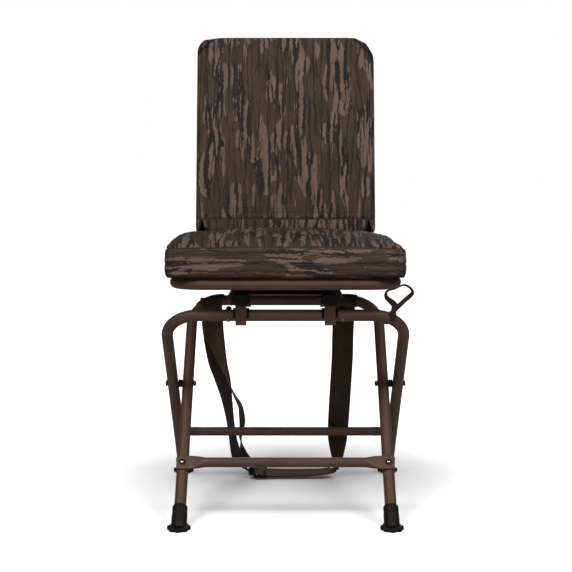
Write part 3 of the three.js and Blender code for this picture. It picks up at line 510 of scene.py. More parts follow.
def rounded_path(corners, radius, closed=False):
    """Points and tangents along a polyline with round corners."""
    arc_step, straight_step = 3.0, 18.0  # degrees, mm
    corners = [np.asarray(p, float) for p in corners]
    total = len(corners)
    points, tangents = [], []

    def push(point, tangent):
        if not points or np.linalg.norm(points[-1] - point) >= 1e-6:
            points.append(point)
            tangents.append(tangent)

    def line(start, end):
        length = np.linalg.norm(end - start)
        if length < 1e-6:
            return
        tangent = (end - start) / length
        count = max(1, int(round(length / straight_step)))
        for i in range(count + 1):
            push(start + tangent * length * i / count, tangent)

    arcs = []
    for i in range(total) if closed else range(1, total - 1):
        corner = corners[i]
        ahead, leave = unit(corner - corners[i - 1]), unit(corners[(i + 1) % total] - corner)
        turn = math.acos(max(-1, min(1, float(ahead @ leave))))
        inset = radius * math.tan(turn / 2)
        inward = unit(leave - ahead * (leave @ ahead))
        arcs.append((corner - ahead * inset, ahead, inward, turn, corner + leave * inset))
    current = arcs[-1][-1] if closed else corners[0]
    for start, ahead, inward, turn, end in arcs:
        line(current, start)
        centre = start + inward * radius
        count = max(3, int(round(math.degrees(turn) / arc_step)))
        for i in range(count + 1):
            angle = turn * i / count
            cos, sin = math.cos(angle), math.sin(angle)
            push(centre - inward * radius * cos + ahead * radius * sin, ahead * cos + inward * sin)
        current = end
    if not closed:
        line(current, corners[-1])
    elif np.linalg.norm(points[0] - points[-1]) < 1e-6:
        points.pop()
        tangents.pop()
    return points, tangents


def tube(name, path, normal, radius, sides, closed=False):
    normal = np.asarray(normal, float)
    cos, sin = np.cos(angles(sides))[:, None], np.sin(angles(sides))[:, None]
    rings = []
    for point, tangent in zip(*path):
        first = unit(normal - tangent * (normal @ tangent))
        rings.append(point + radius * (cos * first + sin * np.cross(tangent, first)))
    return obj_from(name, *loft(rings, closed), COAT)


def turned(name, profile, origin, axis, mats, sides=32, face_mats=None, wobble=None):
    """Lathe of (radius, height) points round an axis. A radius of 0 closes to a point; a
    profile that never meets the axis closes on itself."""
    axis = unit(axis)
    ref = np.array([1.0, 0, 0]) if abs(axis[0]) < 0.9 else np.array([0, 1.0, 0])
    first = unit(np.cross(axis, ref))
    second = np.cross(axis, first)
    verts, faces, indices, rings = [], [], [], []
    for radius, height in profile:
        if radius < 1e-9:
            rings.append([len(verts)] * sides)
            verts.append(origin + axis * height)
            continue
        rings.append(list(range(len(verts), len(verts) + sides)))
        for t in angles(sides):
            r = radius if wobble is None else wobble(radius, height, t)
            verts.append(origin + axis * height + first * r * math.cos(t)
                         + second * r * math.sin(t))
    pairs = list(zip(rings, rings[1:]))
    if profile[0][0] > 1e-9 and profile[-1][0] > 1e-9:
        pairs.append((rings[-1], rings[0]))
    for k, (low, high) in enumerate(pairs):
        for i in range(sides):
            j = (i + 1) % sides
            face = tuple(dict.fromkeys((low[i], low[j], high[j], high[i])))
            if len(face) > 2:
                faces.append(face)
                indices.append(0 if face_mats is None else face_mats[k])
    return obj_from(name, verts, faces, mats, face_mats=indices)


def apply_modifiers(obj):
    depsgraph = bpy.context.evaluated_depsgraph_get()
    mesh = bpy.data.meshes.new_from_object(obj.evaluated_get(depsgraph))
    old = obj.data
    obj.modifiers.clear()
    obj.data = mesh
    bpy.data.meshes.remove(old)


def boolean(obj, other, operation):
    mod = obj.modifiers.new("b", "BOOLEAN")
    mod.operation = operation
    mod.solver = "EXACT"
    mod.object = other
    apply_modifiers(obj)
    bpy.data.objects.remove(other)


# ------------------------------------------------------------------ leg frames
FLAT_HALF = 1.5  # half thickness of a stretcher's flattened ends


def leg_frame(layer, side, half_x):
    end = leg_at(14)
    corners = [leg_point(side, x, along)
               for x, along in ((-half_x, end), (-half_x, 0), (half_x, 0), (half_x, end))]
    obj = tube(f"look_{layer}_leg_frame", rounded_path(corners, BEND_R), face_dir(side),
               TUBE_R, sides=48)
    register(obj, f"{layer}_frame")


def stretcher(layer, end, side, half_x):
    """Round bar between the legs that flattens towards its ends."""
    half, flat, rounded = half_x + TUBE_R, half_x - 12, half_x - 46
    stations = np.unique(np.concatenate([
        -np.linspace(flat, half, 5), -np.linspace(rounded, flat, 15),
        np.linspace(-rounded, rounded, 18), np.linspace(rounded, flat, 15),
        np.linspace(flat, half, 5)]).round(4))
    normal, along = face_dir(side), -leg_dir(side)
    cos, sin = np.cos(angles(56)), np.sin(angles(56))
    bar_r, flat_width, end_round = 9.3, 14.0, 2.2
    rings = []
    for x in stations:
        share = min(1, max(0, (abs(x) - rounded) / (flat - rounded)))
        ease = share * share * (3 - 2 * share)
        tip = max(0.0, (abs(x) - (half - 3)) / 3)
        width = bar_r + (flat_width - bar_r) * ease
        width -= end_round * (1 - math.sqrt(max(0, 1 - tip * tip)))
        depth = bar_r + (FLAT_HALF - bar_r) * ease
        power = 2 / (2 + 5 * ease)
        u = width * (np.sign(cos) * np.abs(cos) ** power)
        w = depth * (np.sign(sin) * np.abs(sin) ** power)
        centre = leg_point(side, x, leg_at(STRETCHER_Z)) + normal * (TUBE_R + CLEARANCE + FLAT_HALF)
        rings.append(centre + u[:, None] * along + w[:, None] * normal)
    register(obj_from(f"look_{end}_stretcher", *loft(rings), COAT), f"{layer}_frame")


def foot(layer, end, side, x, word):
    """Ribbed sleeve round the leg end, joined to a scalloped disc on the floor."""
    def ribs(r, height, t):
        return r + (0.55 if height > 17 and 13.5 < r < 15 else 0) * max(0.0, math.cos(4 * t)) ** 6

    top = leg_at(36)
    length = leg_at(2) - top
    profile = [(0, 3), (11.2, 3), (11.2, 0.4), (11.7, 0), (12.4, 0), (13.6, 1.3), (14, 2.4),
               (14, 9), (14, 16), (14, 18), (14, length - 8), (14, length - 4), (13, length),
               (0, length)]
    sleeve = turned(f"look_{end}_foot_{word}", profile, leg_point(side, x, top), leg_dir(side),
                    RUBBER, sides=48, wobble=ribs)
    # trim the slanted sleeve inside the disc
    box = [(x + i * 60, side * FOOT_Y + j * 120, z)
           for i in (-1, 1) for j in (-1, 1) for z in (-40, 5.5)]
    box_faces = [(0, 1, 3, 2), (4, 6, 7, 5), (0, 4, 5, 1), (2, 3, 7, 6), (0, 2, 6, 4), (1, 5, 7, 3)]
    boolean(sleeve, obj_from("cut", box, box_faces, RUBBER), "DIFFERENCE")
    # change of radius, height
    disc = ((-4, 0.0), (-1.4, 0.0), (-0.4, 0.5), (0, 1.5), (0, 6.2), (-0.5, 7.4), (-1.6, 8.2),
            (-3.2, 8.5), (-6.5, 8.5))
    around = angles(96)
    rings = []
    for change, z in disc:
        r = 20.3 + (1.3 if change > -5 else 0.4) * np.cos(8 * around) + change
        rings.append(np.stack([x + r * np.cos(around), side * FOOT_Y + r * np.sin(around),
                               np.full(len(around), z)], 1))
    boolean(sleeve, obj_from("disc", *loft(rings), RUBBER), "UNION")
    shade_smooth(sleeve, sharp=34)
    register(sleeve, f"{layer}_frame")


def stretcher_bolt(layer, end, side, x, word):
    seat = leg_point(side, x, leg_at(STRETCHER_Z)) + face_dir(side) * (
        TUBE_R + CLEARANCE + 2 * FLAT_HALF + CLEARANCE)
    profile = [(0, -13), (3, -13), (3, 0), (6.1, 0), (6.3, 0.4), (6.1, 0.9), (5.3, 1.0),
               (5.2, 1.5), (4.7, 2.5), (3.6, 3.2), (2.7, 3.35), (2.5, 2.9), (2.3, 2.3),
               (1.4, 2.6), (0, 2.7)]
    obj = turned(f"look_{end}_stretcher_bolt_{word}", profile, seat, face_dir(side),
                 [FASTENER, BRIGHT], sides=36, face_mats=[0] * 12 + [1, 1])
    register(obj, f"{layer}_frame")


def hexagon(r, height, t):
    """Flat sides for a nut's outer rings; its bore stays round."""
    flat = math.cos(((t + math.pi / 6) % (math.pi / 3)) - math.pi / 6)
    return r / flat * (0.91 if r > 4.5 else flat)


def pivot(sign, word):
    """Bolt, spacer and nut where the two leg frames cross."""
    head = OUTER_X + TUBE_R + CLEARANCE
    nut = INNER_X - TUBE_R - CLEARANCE
    grip = head - nut
    axis = np.array([sign, 0, 0.0])
    bolt = [(0, -(grip + 5.5)), (3.2, -(grip + 5.5)), (3.5, -(grip + 4.8)), (3.5, 0), (6.2, 0),
            (6.5, 0.4), (6.4, 1.3), (5.9, 2.1), (4.8, 3.0), (3.0, 3.6), (2.2, 3.7), (2.0, 2.6),
            (0, 2.6)]
    spacer = [(3.8, 0), (7.2, 0), (7.9, 0.5), (8.0, 1.4), (7.5, 2.0), (7.5, 5.3), (8.0, 5.9),
              (7.9, 6.8), (7.2, 7.3), (3.8, 7.3)]
    nut_profile = [(3.7, 0), (5.6, 0), (5.9, 0.35), (5.9, 3.6), (5.5, 4), (3.7, 4)]

    def add(part, profile, x, facing, mat, slot, **options):
        obj = turned(f"look_pivot_{part}_{word}", profile, np.array([sign * x, 0, PIVOT_Z]),
                     facing, mat, **options)
        register(obj, "inner_frame")

    add("bolt", bolt, head, axis, FASTENER, "black_fastener")
    add("spacer", spacer, INNER_X + TUBE_R + CLEARANCE, axis, PLASTIC, "black_plastic")
    add("nut", nut_profile, nut, -axis, FASTENER, "black_fastener", sides=36, wobble=hexagon)


def fold_bumper(sign, word):
    """Rubber button on the front top bar, and its rivet on the other face."""
    bar = np.array([sign * 106.0, -BAR_Y, BAR_Z])
    up = face_dir(1)
    profile = [(0, -0.2), (4.6, -0.2), (5.3, 0.4), (5.5, 1.2), (5.5, 5.2), (5.1, 6.6), (4.1, 7.6),
               (2.6, 8.0), (0, 8.0)]
    obj = turned(f"look_fold_bumper_{word}", profile, bar + up * (TUBE_R + 0.5), up, RUBBER)
    register(obj, "outer_frame")
    profile = [(0, -0.6), (3.7, -0.6), (4.1, -0.1), (4.0, 0.6), (3.3, 1.4), (1.9, 1.9), (1.3, 1.9),
               (1.1, 1.3), (0, 1.3)]
    obj = turned(f"look_bumper_rivet_{word}", profile, bar - up * (TUBE_R + 1), -up, RIVET,
                 sides=28)
    register(obj, "outer_frame")


for layer, end, side, half_x in LEG_FRAMES:
    leg_frame(layer, side, half_x)
for frame in LEG_FRAMES:
    stretcher(*frame)
for sign, word in SIDES:
    for fitting in (foot, stretcher_bolt):
        for layer, end, side, half_x in LEG_FRAMES:
            fitting(layer, end, side, sign * half_x, word)
    pivot(sign, word)
    fold_bumper(sign, word)

# ------------------------------------------------------------------ CAD pieces kept in shape
# node, material, bevel width, least angle bevelled in degrees
CAD_SINGLE = (
    ("base_plate", COAT, 0.7, 40), ("cross_member_front", COAT, 0.6, 40),
    ("cross_member_rear", COAT, 0.6, 40), ("seat_pan", BOARD, 0.6, 40))
CAD_PAIRED = (
    # the hook brackets take the darker copy of the powder coat, painted shade
    ("hook_bracket", COAT_SHADED, 0.45, 40), ("clip_block", PLASTIC, 0.9, 35),
    ("clip_liner", PLASTIC, 0.5, 50), ("rear_clamp", COAT, 0.5, 40),
    ("back_bracket", BLACK, 0.6, 40), ("back_tube_plug", PLASTIC, 0.3, 40),
    ("back_pivot_bolt", FASTENER, 0.2, 50))


def finish_cad(node, mat, width, angle):
    """Material and softened edges on a CAD node."""
    obj = NODES[node]
    obj.data.materials.clear()
    obj.data.materials.append(mat)
    weld = obj.modifiers.new("weld", "WELD")
    weld.merge_threshold = 0.00002
    bevel = obj.modifiers.new("bevel", "BEVEL")
    bevel.width = width * MM
    bevel.segments = 2
    bevel.limit_method = "ANGLE"
    bevel.angle_limit = math.radians(angle)
    bevel.harden_normals = True


for finish in CAD_SINGLE:
    finish_cad(*finish)
for _, word in SIDES:
    for node, *finish in CAD_PAIRED:
        finish_cad(f"{node}_{word}", *finish)

# ------------------------------------------------------------------ swivel bearing
# radius, height over the base top
LOWER_RACE = [(56, 0.3), (86, 0.3), (87.6, 0.6), (88, 1.4), (87.6, 2.4), (86.6, 2.7), (80, 2.7),
              (78, 2.0), (68, 2.0), (66, 2.7), (56, 2.7)]
UPPER_RACE = [(56, 5.8), (66, 5.8), (68, 6.5), (78, 6.5), (80, 5.8), (86.6, 5.8), (87.6, 6.1),
              (88, 7.2), (87.4, 8.2), (86, 8.4), (56, 8.4)]
CAGE = [(66.6, 3.6), (77.4, 3.6), (77.4, 4.9), (66.6, 4.9)]
BALL_COUNT, BALL_R, BALL_CIRCLE_R, BALL_RISE = 36, 1.85, 72, 4.25
BEARING = (np.array([0, 0, BASE_TOP_Z]), (0, 0, 1))


def ball_cage():
    cage = turned("look_ball_cage", CAGE, *BEARING, [BLACK, BRIGHT], sides=72)
    bm = bmesh.new()
    bm.from_mesh(cage.data)
    for i in range(BALL_COUNT):
        angle = math.tau * i / BALL_COUNT
        radius = BALL_CIRCLE_R * MM
        centre = (radius * math.cos(angle), radius * math.sin(angle), (BASE_TOP_Z + BALL_RISE) * MM)
        ball = bmesh.ops.create_icosphere(bm, subdivisions=2, radius=BALL_R * MM,
                                          matrix=Matrix.Translation(centre))
        for vert in ball["verts"]:
            for face in vert.link_faces:
                face.material_index = 1
                face.smooth = True
    bm.to_mesh(cage.data)
    bm.free()
    register(cage, "swivel_base")


register(turned("look_lower_race", LOWER_RACE, *BEARING, BLACK, sides=96),
         "swivel_base")
register(turned("look_upper_race", UPPER_RACE, *BEARING, BLACK, sides=96), "seat")
ball_cage()

# ------------------------------------------------------------------ seat ring and back frame
ring_corners = [(i * RING_HX, j * RING_HY, RING_Z) for i, j in ((-1, -1), (1, -1), (1, 1), (-1, 1))]
register(tube("look_seat_ring", rounded_path(ring_corners, RING_BEND, closed=True), (0, 0, 1),
              TUBE_R, sides=48, closed=True), "seat")

frame_corners = [back_point(i * BACK_TUBE_X, 0, up)
                 for i, up in ((-1, -16), (-1, BACK_TUBE_TOP), (1, BACK_TUBE_TOP), (1, -16))]
register(tube("look_back_frame", rounded_path(frame_corners, BACK_BEND), BACK_OUT,
              BACK_TUBE_R, sides=36), "backrest")


# ------------------------------------------------------------------ cloth helpers
def read_vectors(obj, field):
    values = np.zeros(len(obj.data.vertices) * 3)
    obj.data.vertices.foreach_get(field, values)
    return values.reshape(-1, 3)


def shape_of(obj):
    """Vertex places in metres, and normals."""
    return read_vectors(obj, "co"), read_vectors(obj, "normal")


def set_coords(obj, places):
    obj.data.vertices.foreach_set("co", np.asarray(places, np.float32).ravel())
    obj.data.update()


def remesh(obj, voxel):
    mod = obj.modifiers.new("r", "REMESH")
    mod.mode = "VOXEL"
    mod.voxel_size = voxel
    mod.use_smooth_shade = True
    apply_modifiers(obj)


def subdivide(obj):
    mod = obj.modifiers.new("s", "SUBSURF")
    mod.levels = mod.render_levels = 1
    apply_modifiers(obj)


def inflate(obj, pin, pressure, cap, stiffness):
    """Run pressurised cloth without gravity and keep the change of shape, capped in metres."""
    frames = 20
    rest = read_vectors(obj, "co")
    group = obj.vertex_groups.new(name="pin")
    for i in np.nonzero(pin > 0.01)[0]:
        group.add([int(i)], float(pin[i]), "REPLACE")
    cloth = obj.modifiers.new("Cloth", "CLOTH")
    settings = cloth.settings
    settings.quality = 6
    settings.mass = 0.35
    settings.tension_stiffness = settings.compression_stiffness = stiffness
    settings.shear_stiffness = 6
    settings.bending_stiffness = 0.6
    settings.use_pressure = True
    settings.uniform_pressure_force = pressure
    settings.effector_weights.gravity = 0
    settings.vertex_group_mass = "pin"
    cloth.point_cache.frame_start, cloth.point_cache.frame_end = 1, frames
    for frame in range(1, frames + 1):
        scene.frame_set(frame)
    depsgraph = bpy.context.evaluated_depsgraph_get()
    change = read_vectors(obj.evaluated_get(depsgraph), "co") - rest
    obj.modifiers.clear()
    obj.vertex_groups.clear()
    scene.frame_set(1)
    length = np.linalg.norm(change, axis=1)
    keep = np.where(length > 1e-9, cap * np.tanh(length / cap) / np.maximum(length, 1e-9), 0)
    set_coords(obj, rest + change * keep[:, None])


def value_noise(points, scale, seed):
    """Smooth lattice noise in [-1, 1], same on every run."""
    places = points * scale
    cell = np.floor(places).astype(np.int64)
    share = places - cell
    share = share * share * (3 - 2 * share)
    total = np.zeros(len(points))
    for corner in np.ndindex(2, 2, 2):
        mixed = (cell + np.array(corner)) @ np.array([374761393, 668265263, 2147483647])
        mixed = mixed + seed * 1274126177
        mixed = (mixed ^ (mixed >> 13)) * 1274126177
        mixed = (mixed ^ (mixed >> 16)) & 0xFFFF
        total += np.prod(np.where(corner, share, 1 - share), axis=1) * (mixed / 32767.5 - 1)
    return total


def ridge(value, at, width):
    """Bell of height 1 round a place."""
    return np.exp(-((value - at) / width) ** 2)


def relief(value, *ridges):
    """Sum of bells, each (height, place, width)."""
    return sum(height * ridge(value, at, width) for height, at, width in ridges)


def rise(value, start, run):
    """Straight climb from 0 at start to 1 a run later; a negative run climbs downward."""
    return np.clip((value - start) / run, 0, 1)


def gathers(dx, dy, reach, folds, phase=0.0):
    """Folds that fan out from a point and die away."""
    return ridge(np.hypot(dx, dy), 0, reach) * np.sin(np.arctan2(dy, dx) * folds + phase)


def set_print(obj, pat, shade_and_grime):
    """Attributes read by the printed cloth: the place in the print, and grime, a darkening that is
    painted shade with some dirt.
    """
    for name, kind, field, values in (("pat", "FLOAT_VECTOR", "vector", np.stack(pat, 1)),
                                      ("shade_and_grime", "FLOAT", "value", np.clip(shade_and_grime, 0, 1))):
        layer = obj.data.attributes.new(name, kind, "POINT")
        layer.data.foreach_set(field, values.astype(np.float32).ravel())


def stitches(name, path, normals, body, pitch, length, radius):
    """A row of separate thread stitches laid on a surface path (metres)."""
    steps = np.linalg.norm(np.diff(path, axis=0), axis=1)
    travel = np.concatenate([[0], np.cumsum(steps)])
    around = angles(6)
    cos, sin = np.cos(around)[:, None], np.sin(around)[:, None]
    verts, faces = [], []
    for i in range(int(travel[-1] / (pitch * MM))):
        start = (i + 0.08) * pitch * MM
        end = start + length * MM
        if end > travel[-1]:
            break
        at = np.linspace(start, end, 5)
        centres, lifts = (np.stack([np.interp(at, travel, source[:, k]) for k in range(3)], 1)
                          for source in (path, normals))
        tangent = unit(centres[-1] - centres[0])
        rings = []
        for centre, lift, girth in zip(centres, lifts, (0.35, 0.9, 1.0, 0.9, 0.35)):
            up = unit(lift - tangent * (lift @ tangent))
            height = (girth * 0.55 - 0.15) * radius * MM
            rings.append(centre + up * height + radius * MM * girth
                         * (cos * np.cross(tangent, up) + sin * up * 0.8))
        stitch_verts, stitch_faces = loft(rings)
        base = len(verts)
        verts += stitch_verts
        faces += [tuple(index + base for index in face) for face in stitch_faces]
    register(obj_from(name, verts, faces, THREAD, scale=1.0), body)


def project(obj, points, directions):
    """Surface points and normals hit by rays, or the nearest ones where a ray misses."""
    tree = BVHTree.FromObject(obj, bpy.context.evaluated_depsgraph_get())
    hits = []
    for point, direction in zip(points, directions):
        hit = tree.ray_cast(Vector(point), Vector(direction))
        if hit[0] is None:
            hit = tree.find_nearest(Vector(point))
        hits.append(hit[:2])
    return np.array([place for place, _ in hits]), np.array([normal for _, normal in hits])


# ------------------------------------------------------------------ seat cushion
SEAT_HX, SEAT_FRONT, SEAT_REAR = 222.0, -208.0, 189.5
SEAT_Z = 461.0                # underside
MID_ROW_Z = 485               # stitch row round the boxing
JOIN_X = 203.5                # upright joins in the front and rear boxing
SEAT_CY, SEAT_HY = (SEAT_FRONT + SEAT_REAR) / 2, (SEAT_REAR - SEAT_FRONT) / 2


def seam_z(x, y):
    """Height of the top seam: higher at the back, and bowed up along the front."""
    v = np.clip((y - SEAT_FRONT) / (SEAT_REAR - SEAT_FRONT), 0, 1)
    u = np.clip(np.abs(x) / SEAT_HX, 0, 1)
    return 512 + 6.5 * v + 4.6 * (1 - u ** 3) * (1 - v) ** 4


def cushion_shape():
    """Boxed pad: flat underside, upright boxing, crowned top, corners rounded in plan."""
    count = 40
    grid = np.linspace(-1, 1, count + 1)
    verts, index, faces = [], {}, []

    def vertex(key, point):
        if key not in index:
            index[key] = len(verts)
            verts.append(point)
        return index[key]

    def plan(u, v, inset):
        """Square grid onto the seat's rectangle, with the corners slid onto arcs."""
        radius = 17.0 + inset
        half_x, half_y = SEAT_HX - inset + 2.5 * max(0.0, v), SEAT_HY - inset
        reach = max(abs(u), abs(v))
        x, y = u * half_x, v * half_y
        if reach > 1e-6:
            edge_x, edge_y = u / reach * half_x, v / reach * half_y
            over_x, over_y = abs(edge_x) - (half_x - radius), abs(edge_y) - (half_y - radius)
            if over_x > 0 and over_y > 0:
                length = math.hypot(over_x, over_y)
                pull = radius / length if length > radius else 1.0
                arc_x, arc_y = half_x - radius + over_x * pull, half_y - radius + over_y * pull
                weight = reach ** 6
                x += (math.copysign(arc_x, edge_x) * reach - x) * weight
                y += (math.copysign(arc_y, edge_y) * reach - y) * weight
        return x, SEAT_CY + y

    def top(u, v):
        """Crowned top, fuller along the front of the left edge."""
        x, y = plan(u, v, 3.4)
        ahead = min(1.0, max(0.0, 1 - (v + 0.45) / 1.0)) if u < 0 else 0.0
        full = 10.5 * ahead * math.exp(-((u + 0.92) / 0.15) ** 2)
        shoulder = (13 + full) * (1 - abs(u) ** (9 + 13 * ahead)) * (1 - abs(v) ** 8)
        crown = shoulder + 10.5 * (1 - abs(u) ** 2.4) * (1 - abs(v) ** 2.2)
        return x, y, float(seam_z(x, y)) + crown

    def bottom(u, v):
        """Flat underside with a lower lip round its edge."""
        x, y = plan(u, v, 4.5)
        reach = max(abs(x) / SEAT_HX, abs(y - SEAT_CY) / SEAT_HY)
        lip = min(1.0, max(0.0, (reach - 0.9) / 0.035))
        return x, y, SEAT_Z + 2.4 - 4.4 * lip * lip * (3 - 2 * lip)

    for i in range(count):
        for j in range(count):
            for layer, place in (("top", top), ("bottom", bottom)):
                quad = [vertex((layer, a, b), place(grid[a], grid[b]))
                        for a, b in ((i, j), (i + 1, j), (i + 1, j + 1), (i, j + 1))]
                faces.append(tuple(quad[::-1] if layer == "bottom" else quad))

    steps = range(count)
    rim = ([(i, 0) for i in steps] + [(count, j) for j in steps]
           + [(count - i, count) for i in steps] + [(0, count - j) for j in steps])
    # layer, share of the boxing's height, inset
    levels = [("bottom", 0.0, 4.5), ("side", 0.08, 2.2), ("side", 0.28, 1.8), ("side", 0.5, 2.0),
              ("side", 0.72, 2.0), ("side", 0.9, 2.6), ("top", 1.0, 3.4)]

    def rim_vertex(level, column):
        layer, share, inset = levels[level]
        if layer != "side":
            return index[(layer, *column)]
        x, y = plan(grid[column[0]], grid[column[1]], inset)
        z = SEAT_Z - 2.0 + (float(seam_z(x, y)) - SEAT_Z + 2.0) * share
        return vertex((level, column), (x, y, z))

    for k in range(len(levels) - 1):
        for here, after in zip(rim, rim[1:] + rim[:1]):
            faces.append(tuple(rim_vertex(level, column) for level, column in
                               ((k, here), (k, after), (k + 1, after), (k + 1, here))))
    return verts, faces


def fill_cushion(obj):
    """The stitched edges hold and the panels fill out."""
    x, y, z = (read_vectors(obj, "co") / MM).T
    seam = seam_z(x, y)
    pin = ridge(z, seam, 3.0) * 0.85
    pin = np.maximum(pin, np.where(z < SEAT_Z + 5, 1.0, 0.0))
    pin = np.maximum(pin, ridge(z, MID_ROW_Z, 2.6) * 0.5 * (z < seam - 8))
    inflate(obj, pin, pressure=3.2, cap=0.007, stiffness=15.0)


def carve_cushion(obj):
    """Seams, puckers and soft waves, as heights in mm along the normals."""
    places, normals = shape_of(obj)
    x, y, z = (places / MM).T
    over_seam = z - seam_z(x, y)
    reach_x, reach_y = np.abs(x) / SEAT_HX, np.abs(y - SEAT_CY) / SEAT_HY
    outer = np.maximum(reach_x, reach_y) > 0.9
    # top seam: a tight valley with fabric rolling over it; the mid row pulls the boxing in
    valley = relief(over_seam, (-1.7, 0, 1.5), (0.7, 5, 4.0), (0.5, -6, 4.0))
    mid = relief(z, (-0.75, MID_ROW_Z, 1.6), (0.4, 491, 4), (0.4, 478, 4))
    height = np.where(outer, valley + mid * (over_seam < -6), 0)
    # upright joins where the boxing strips meet near the corners
    ends = np.abs(np.abs(y - SEAT_CY) - SEAT_HY) < 14
    height += np.where(ends & (over_seam < 1),
                       relief(np.abs(x), (-0.45, JOIN_X, 1.5), (0.5, 198, 3.5)), 0)
    # puckers: short gathers that run off the seams
    around = np.where(reach_x > reach_y, y, x)
    drawn = np.stack([around * MM, z * MM * 0.25, np.zeros(len(z))], 1)
    pucker = value_noise(drawn, scale=95, seed=3) * 0.5 + value_noise(drawn, scale=48, seed=5) * 0.5
    near = np.exp(-(np.abs(over_seam) / 13) ** 1.5) + 0.5 * ridge(z, MID_ROW_Z, 7)
    height += np.where(outer, pucker * near * 0.9, 0)
    # broad, soft waves of the cover
    waves = (value_noise(places * np.array([1.0, 1.4, 1.0]), scale=17, seed=9) * 1.1
             + value_noise(places, scale=34, seed=4) * 0.5)
    top = rise(normals[:, 2], 0.3, 0.5)
    height += waves * (0.25 + 0.75 * top)
    # drawn diagonals and fullness at the four corners, most at the rear left
    for sx in (-1, 1):
        for sy in (-1, 1):
            dx, dy = x - sx * (SEAT_HX - 16), y - (SEAT_CY + sy * (SEAT_HY - 16))
            height += gathers(dx, dy, reach=55, folds=11, phase=sx + 2 * sy) * 0.8 * top
            fullness = 1.6 if sx < 0 and sy > 0 else 0.7
            height += 2.2 * ridge(np.hypot(dx, dy), 0, 30) * top * fullness
    height = np.where(z < SEAT_Z + 3.2, 0, height)

    x, y, z = (places / MM + normals * height[:, None]).T
    reach = np.maximum(np.abs(x) / SEAT_HX, np.abs(y - SEAT_CY) / SEAT_HY)
    z = np.maximum(z, np.where(reach > 0.91, SEAT_Z - 2.3, SEAT_Z))
    # the cover's rear edge tucks in behind the ring
    z = z - 3.4 * ridge(y, 178, 3.8) * rise(z, 464.5, -3) * rise(np.abs(x), 196, -8)
    # keep the cover inside its own space
    x, y = np.clip(x, -228, 228), np.clip(y, -210.5, 192.5)
    set_coords(obj, np.stack([x, y, z], 1) * MM)


def print_cushion(obj):
    """The print lies flat on the top and runs round the boxing from the front middle."""
    places, normals = shape_of(obj)
    x, y, z = (places / MM).T
    facing_up = normals[:, 2]
    over_seam = z - seam_z(x, y)
    is_top = (over_seam > 0) | (facing_up > 0.8)

    radius = 0.019  # corner, in metres like the rest of this block
    px, py, pz = places.T
    across = np.abs(px)
    from_front, from_rear = py - SEAT_FRONT * MM, SEAT_REAR * MM - py
    straight = SEAT_HX * MM - radius
    turn = radius * math.pi / 2
    side_start = straight + turn
    side_end = side_start + 2 * SEAT_HY * MM - 2 * radius
    ex = np.maximum(across - straight, 0)
    front_over = np.maximum(radius - from_front, 0)
    rear_over = np.maximum(radius - from_rear, 0)
    middle = across < straight
    girth = np.sign(px) * np.select(
        [middle & (from_front < from_rear), middle, from_front < radius, from_rear < radius],
        [across, side_end + turn + (straight - across),
         straight + radius * np.arctan2(ex, front_over + 1e-9),
         side_end + radius * np.arctan2(rear_over, ex + 1e-9)],
        default=side_start + (from_front - radius))
    pat = (np.where(is_top, px + 0.31, pz + 2.1), np.where(is_top, py + 0.8, girth + 1.7),
           np.where(is_top, 0.40, 0.13))

    ends = np.abs(np.abs(y - SEAT_CY) - SEAT_HY) < 14
    # painted shade with some dirt: dark seam, mid row and join lines, darker sides, a painted
    # shadow along the bottom over the ring, a darker rear of the top under the backrest, and all
    # upward faces a little darker
    shade_and_grime = np.maximum.reduce([
        0.75 * ridge(over_seam, 0, 1.5) * (facing_up < 0.95),
        0.35 * ridge(z, MID_ROW_Z, 1.6),
        0.4 * ridge(np.abs(x), JOIN_X, 1.3) * (ends & (over_seam < 0)),
        0.34 * rise(np.abs(x), 204.5, 14) * (over_seam < 2),
        0.6 * rise(z, 468, -6),
        0.45 * rise(y, 150, 40) * (facing_up > 0.5),
        0.14 * rise(facing_up, 0.4, 0.4)])
    set_print(obj, pat, shade_and_grime)


def smooth_loop(values):
    """Running mean of three along a closed row."""
    padded = np.concatenate([values[-3:-1], values, values[1:3]])
    return np.stack([np.convolve(padded[:, i], np.ones(3) / 3, "same")[2:len(values) + 2]
                     for i in range(3)], 1)


def cushion_stitch_row(name, height_at, radius):
    """Stitches where rays from outside meet the boxing at a height."""
    out, inside, count = 40, 30, 400
    starts, directions = [], []
    for i in range(count + 1):
        angle = math.tau * i / count
        cos, sin = math.cos(angle), math.sin(angle)
        reach = 1 / max(abs(cos), abs(sin))
        x, y = cos * reach * (SEAT_HX + out), SEAT_CY + sin * reach * (SEAT_HY + out)
        inner_x = x * (1 - (out + inside) / (SEAT_HX + out))
        inner_y = SEAT_CY + (y - SEAT_CY) * (1 - (out + inside) / (SEAT_HY + out))
        z = height_at(np.clip(x, -SEAT_HX, SEAT_HX), np.clip(y, SEAT_FRONT, SEAT_REAR))
        starts.append(np.array([x, y, z]) * MM)
        directions.append(unit([inner_x - x, inner_y - y, 0]))
    path, normals = project(cushion, starts, directions)
    stitches(name, smooth_loop(path), smooth_loop(normals), "seat", pitch=4.2, length=3.0,
             radius=radius)


cushion = obj_from("look_seat_cushion", *cushion_shape(), CAMO)
remesh(cushion, 0.005)
fill_cushion(cushion)
subdivide(cushion)
carve_cushion(cushion)
shade_smooth(cushion)
print_cushion(cushion)
register(cushion, "seat")
cushion_stitch_row("cushion_mid_stitch", lambda x, y: MID_ROW_Z, radius=0.5)
cushion_stitch_row("cushion_top_stitch", lambda x, y: float(seam_z(x, y)) - 3.2, radius=0.4)

# ------------------------------------------------------------------ backrest sleeve
BACK_HX, BACK_TOP_HX, BACK_TOP = 193.5, 191.0, 406
BACK_SEAM_DEPTH = 2.0
HEM_FOLD, HEM_ROWS = 10.3, (24, 31)  # heights up the front
